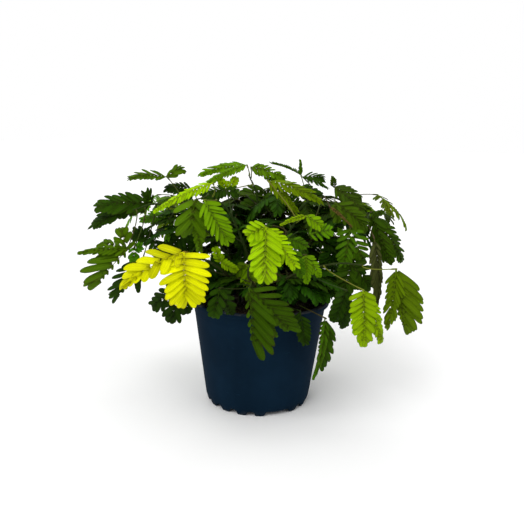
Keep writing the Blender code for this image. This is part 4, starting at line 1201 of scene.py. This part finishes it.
class PLANT_OT_soil(bpy.types.Operator):
    """Fill the pot with soil: a mound lifted by many small bumps, with loose crumbs lying on it."""

    bl_idname = "plant.soil"
    bl_label = "Soil"

    def execute(self, context):
        pot = context.scene.plant_pot
        rng = np.random.default_rng(SOIL_SEED)
        edge = wall_inside(pot, SOIL_TOP) - CLEARANCE
        bottom = FLOOR_THICKNESS + pot.lobe_height + CLEARANCE
        low = wall_inside(pot, bottom) - CORNER_CLEARANCE

        def scattered(count, share=1.0):
            """Places spread evenly over a share of the soil's radius."""
            radii = share * edge * np.sqrt(rng.uniform(0, 1, count))
            return radii[:, None] * bearing(rng.uniform(0, 2 * math.pi, count))

        bump_at = scattered(SOIL_BUMPS)
        bump_size = rng.uniform(0.9, 3.2, SOIL_BUMPS)
        bump_lift = rng.uniform(-0.35, 0.5, SOIL_BUMPS) * bump_size

        def surface(spots):
            """Height of the soil: the mound and the sum of the bumps lift exp(-(distance / size)^2)."""
            away = ((spots[..., None, :] - bump_at) ** 2).sum(-1)
            bumps = (bump_lift * np.exp(-away / bump_size ** 2)).sum(-1)
            radius = np.linalg.norm(spots, axis=-1) / edge
            mound = SOIL_MOUND * np.clip((1 - radius) / 0.55, 0, 1)
            return SOIL_TOP - 0.4 + mound + bumps * np.clip((1 - radius) * 12, 0.15, 1)

        round_soil = bearing(full_turn(SOIL_AROUND))
        radii = edge * np.sqrt(np.linspace(1.0, 0.0004, SOIL_RINGS))
        spots = radii[:, None, None] * round_soil
        upper = np.concatenate((spots, surface(spots)[..., None]), -1)
        heights = np.array((bottom, 30.0, 55.0, SOIL_TOP - 2.5))
        reach = low + (edge - low) * (heights - bottom) / (SOIL_TOP - bottom)
        reach = np.concatenate(((POLE,), reach))[:, None, None]
        heights = np.concatenate(((bottom,), heights))[:, None, None]
        sides = np.concatenate((reach * round_soil, heights + 0 * spots[:5, :, :1]), -1)
        shells = [loft(np.concatenate((sides, upper))[None], np.zeros(2))]
        at = scattered(SOIL_CRUMBS, 0.97)
        middle = np.concatenate((at, surface(at)[:, None]), -1)
        size = rng.uniform(0.4, 1.35, SOIL_CRUMBS)[:, None, None]
        wide = np.array((0.55, 1.0, 0.85, 0.25))[:, None]
        lift = np.array((-0.6, -0.1, 0.45, 0.9))[:, None]
        rough = size * wide * rng.uniform(0.75, 1.2, (SOIL_CRUMBS, 4, 6))
        rise = size * lift * rng.uniform(0.8, 1.1, (SOIL_CRUMBS, 4, 6))
        crumbs = np.concatenate((rough[..., None] * bearing(full_turn(6)), rise[..., None]), -1)
        shells.append(loft(middle[:, None, None] + crumbs, np.zeros(2)))
        earth = shared_material("soil_crumbs", soil_material, tuple(pot.soil))
        add_piece("potting_soil", shells, [earth], "soil")
        return {"FINISHED"}


class PLANT_OT_stems(bpy.types.Operator):
    """Grow the woody stems from the soil."""

    bl_idname = "plant.stems"
    bl_label = "Stems"

    def execute(self, context):
        leaf = context.scene.plant_leaves
        bark = shared_material("stem_bark", bark_material, tuple(leaf.bark))
        for index, (name, thick, thin, rest) in enumerate(STEMS):
            rng = np.random.default_rng(STEM_SEED + index)
            shells = stem_shells(stem_path(name, rest), (thick, thin), leaf, rng, 0)
            add_piece(name + "_bark", shells, [bark], name)
        return {"FINISHED"}


class PLANT_OT_leaves(bpy.types.Operator):
    """Hang every leaf of its own on its stem: stalk, hub and feathered pinnae."""

    bl_idname = "plant.leaves"
    bl_label = "Leaves"

    def execute(self, context):
        leaf = context.scene.plant_leaves
        stems = {row[0]: row[1:] for row in STEMS}
        for index, (name, tone, stem, share, depth, place, pinnae) in enumerate(LEAVES):
            rng = np.random.default_rng(LEAF_SEED + index)
            thick, thin, rest = stems[stem]
            hub = sighted(*place, depth)
            shells = stalk(stem_path(stem, rest), (thick, thin), share, hub, leaf, rng)
            for number, (tip, width, lay, turn) in enumerate(grid_blades(pinnae, depth)):
                shells += pinna(hub, tip, width, lay, turn, pinna_look(name, number), leaf, rng)
            add_piece(name + "_blades", shells, tone_materials(tone), name)
        return {"FINISHED"}


class PLANT_OT_foliage(bpy.types.Operator):
    """Grow the leafy stems of the shaded middle and of the back, and the leaves that fill the shade."""

    bl_idname = "plant.foliage"
    bl_label = "Inner and back foliage"

    def execute(self, context):
        leaf = context.scene.plant_leaves
        rows = [(*row[:5], grid_leaves(row[5]), row[6]) for row in INNER_FOLIAGE]
        for name, tone, thick, thin, rest, seed, more in BACK_FOLIAGE:
            rows.append((name, tone, thick, thin, rest, seeded_leaves(stem_path(name, rest, 1), seed), more))
        low = np.array(CAD_BOX[0]) / MM + 2
        high = np.array(CAD_BOX[1]) / MM - 2
        low[1:] = NEAREST_FILLING, LOWEST_FILLING
        for index, (name, tone, thick, thin, rest, found, more) in enumerate(rows):
            rng = np.random.default_rng(LEAFY_SEED + index)
            path = stem_path(name, rest)
            shells = stem_shells(path, (thick, thin), leaf, rng, 1)
            extra = filling_leaves(path, more, 0.42, 0.9, rng)
            found = found + [row for row in extra if inside(np.array([tip for tip, *_ in row[2]]), low, high)]
            shells += leafy_shells(path, (thick, thin), found, 1.0, leaf, rng)
            add_piece(name + "_leafy", shells, tone_materials(tone), name)
        stems = {row[0]: row[1:] for row in STEMS}
        stems.update({row[0]: row[2:5] for row in INNER_FOLIAGE})
        for index, (stem, count, near, top, painted_light_gain) in enumerate(SHADE_LEAVES):
            rng = np.random.default_rng(SHADE_SEED + index)
            thick, thin, rest = stems[stem]
            path = stem_path(stem, rest)
            corners = np.array(((low[0], near, low[2]), (high[0], high[1], top)))
            fitting = [
                row for row in filling_leaves(path, 12 * count, 0.3, 0.5, rng)
                if inside(np.array([row[1]] + [tip for tip, *_ in row[2]]), *corners)
            ]
            chosen = fitting[::max(1, len(fitting) // count)]
            shells = leafy_shells(path, (thick, thin), chosen, painted_light_gain, leaf, rng)
            add_piece("shade_leaves_" + stem, shells, tone_materials("dark"), None)
        return {"FINISHED"}


class PLANT_OT_stage(bpy.types.Operator):
    """Set the floor, the soft lights, the sky and the camera."""

    bl_idname = "plant.stage"
    bl_label = "Stage"

    def execute(self, context):
        scene = context.scene
        self.lay_floor(scene)
        for kind, spread, spot in LAMPS:
            light = bpy.data.lights.new(kind + "_light", "SUN")
            light.energy = getattr(scene.plant_stage, kind)
            light.angle = math.radians(spread)
            lamp = bpy.data.objects.new(kind + "_light", light)
            lamp.location = spot
            lamp.rotation_euler = (-Vector(spot)).to_track_quat("-Z", "Y").to_euler()
            scene.collection.objects.link(lamp)
        self.light_sky(scene)
        self.set_camera(scene)
        return {"FINISHED"}

    def lay_floor(self, scene):
        """Round floor, a hair below the pot's foot."""
        turn = full_turn(FLOOR_AROUND)
        flat = np.stack((np.cos(turn), np.sin(turn), 0 * turn), -1)
        rings = flat * np.array(FLOOR_RADII)[:, None, None] - np.array((0.0, 0.0, 0.0001))
        mesh = bpy.data.meshes.new("studio_floor")
        quads, fans = loft_faces(1, len(FLOOR_RADII), FLOOR_AROUND)
        faces = quads[:, ::-1].tolist() + fans[:FLOOR_AROUND - 2, ::-1].tolist()
        mesh.from_pydata(rings.reshape(-1, 3), [], faces)
        mesh.materials.append(floor_material("studio_floor", tuple(scene.plant_stage.floor)))
        floor = bpy.data.objects.new("studio_floor", mesh)
        scene.collection.objects.link(floor)

    def light_sky(self, scene):
        """White sky, which lights the plant less than it shines into the camera."""
        world = bpy.data.worlds.new("studio_sky")
        world.use_nodes = True
        tree = world.node_tree
        tree.nodes.clear()
        seen = put(tree, "ShaderNodeLightPath").outputs["Is Camera Ray"]
        strength = ramp(tree, seen, 0.0, 1.0, scene.plant_stage.sky, 1.0)
        sky = put(tree, "ShaderNodeBackground", {"Color": (1.0, 1.0, 1.0, 1.0), "Strength": strength})
        put(tree, "ShaderNodeOutputWorld", {"Surface": sky.outputs[0]})
        scene.world = world
        scene.view_settings.view_transform = "Standard"

    def set_camera(self, scene):
        """Camera at the eye of the front grid."""
        camera = bpy.data.cameras.new("camera")
        camera.sensor_width = 36.0
        camera.lens = 36.0 * VIEW_LENGTH / (2 * VIEW_CENTRE)
        camera.clip_start = 0.01
        camera.clip_end = 30.0
        eye = bpy.data.objects.new("camera", camera)
        eye.location = EYE * MM
        tilt = Matrix.Rotation(math.pi / 2 - VIEW_PITCH, 4, "X") @ Matrix.Rotation(VIEW_ROLL, 4, "Z")
        eye.rotation_euler = tilt.to_euler()
        scene.collection.objects.link(eye)
        scene.camera = eye


class PLANT_PT_panel(bpy.types.Panel):
    """Sidebar list of the plant's pieces and settings."""

    bl_idname = "PLANT_PT_panel"
    bl_label = "Potted sensitive plant"
    bl_space_type = "VIEW_3D"
    bl_region_type = "UI"
    bl_category = "Plant"

    def draw(self, context):
        for operator in OPERATORS:
            self.layout.operator(operator.bl_idname)
        for name, group in SETTINGS.items():
            box = self.layout.box()
            for key in group.__annotations__:
                box.prop(getattr(context.scene, name), key)


OPERATORS = (PLANT_OT_pot, PLANT_OT_soil, PLANT_OT_stems, PLANT_OT_leaves, PLANT_OT_foliage, PLANT_OT_stage)
SETTINGS = {
    "plant_pot": PlantPotSettings,
    "plant_leaves": PlantLeafSettings,
    "plant_stage": PlantStageSettings,
}
CLASSES = (*SETTINGS.values(), *OPERATORS, PLANT_PT_panel)


def register():
    """Register the classes and hang the settings on the scene."""
    for cls in CLASSES:
        bpy.utils.register_class(cls)
    for name, group in SETTINGS.items():
        setattr(bpy.types.Scene, name, bpy.props.PointerProperty(type=group))


def unregister():
    """Take the settings and the classes away."""
    for name in SETTINGS:
        delattr(bpy.types.Scene, name)
    for cls in reversed(CLASSES):
        bpy.utils.unregister_class(cls)


def main():
    """Build every piece."""
    register()
    bpy.ops.plant.pot()
    bpy.ops.plant.soil()
    bpy.ops.plant.stems()
    bpy.ops.plant.leaves()
    bpy.ops.plant.foliage()
    bpy.ops.plant.stage()


if __name__ == "__main__":
    main()
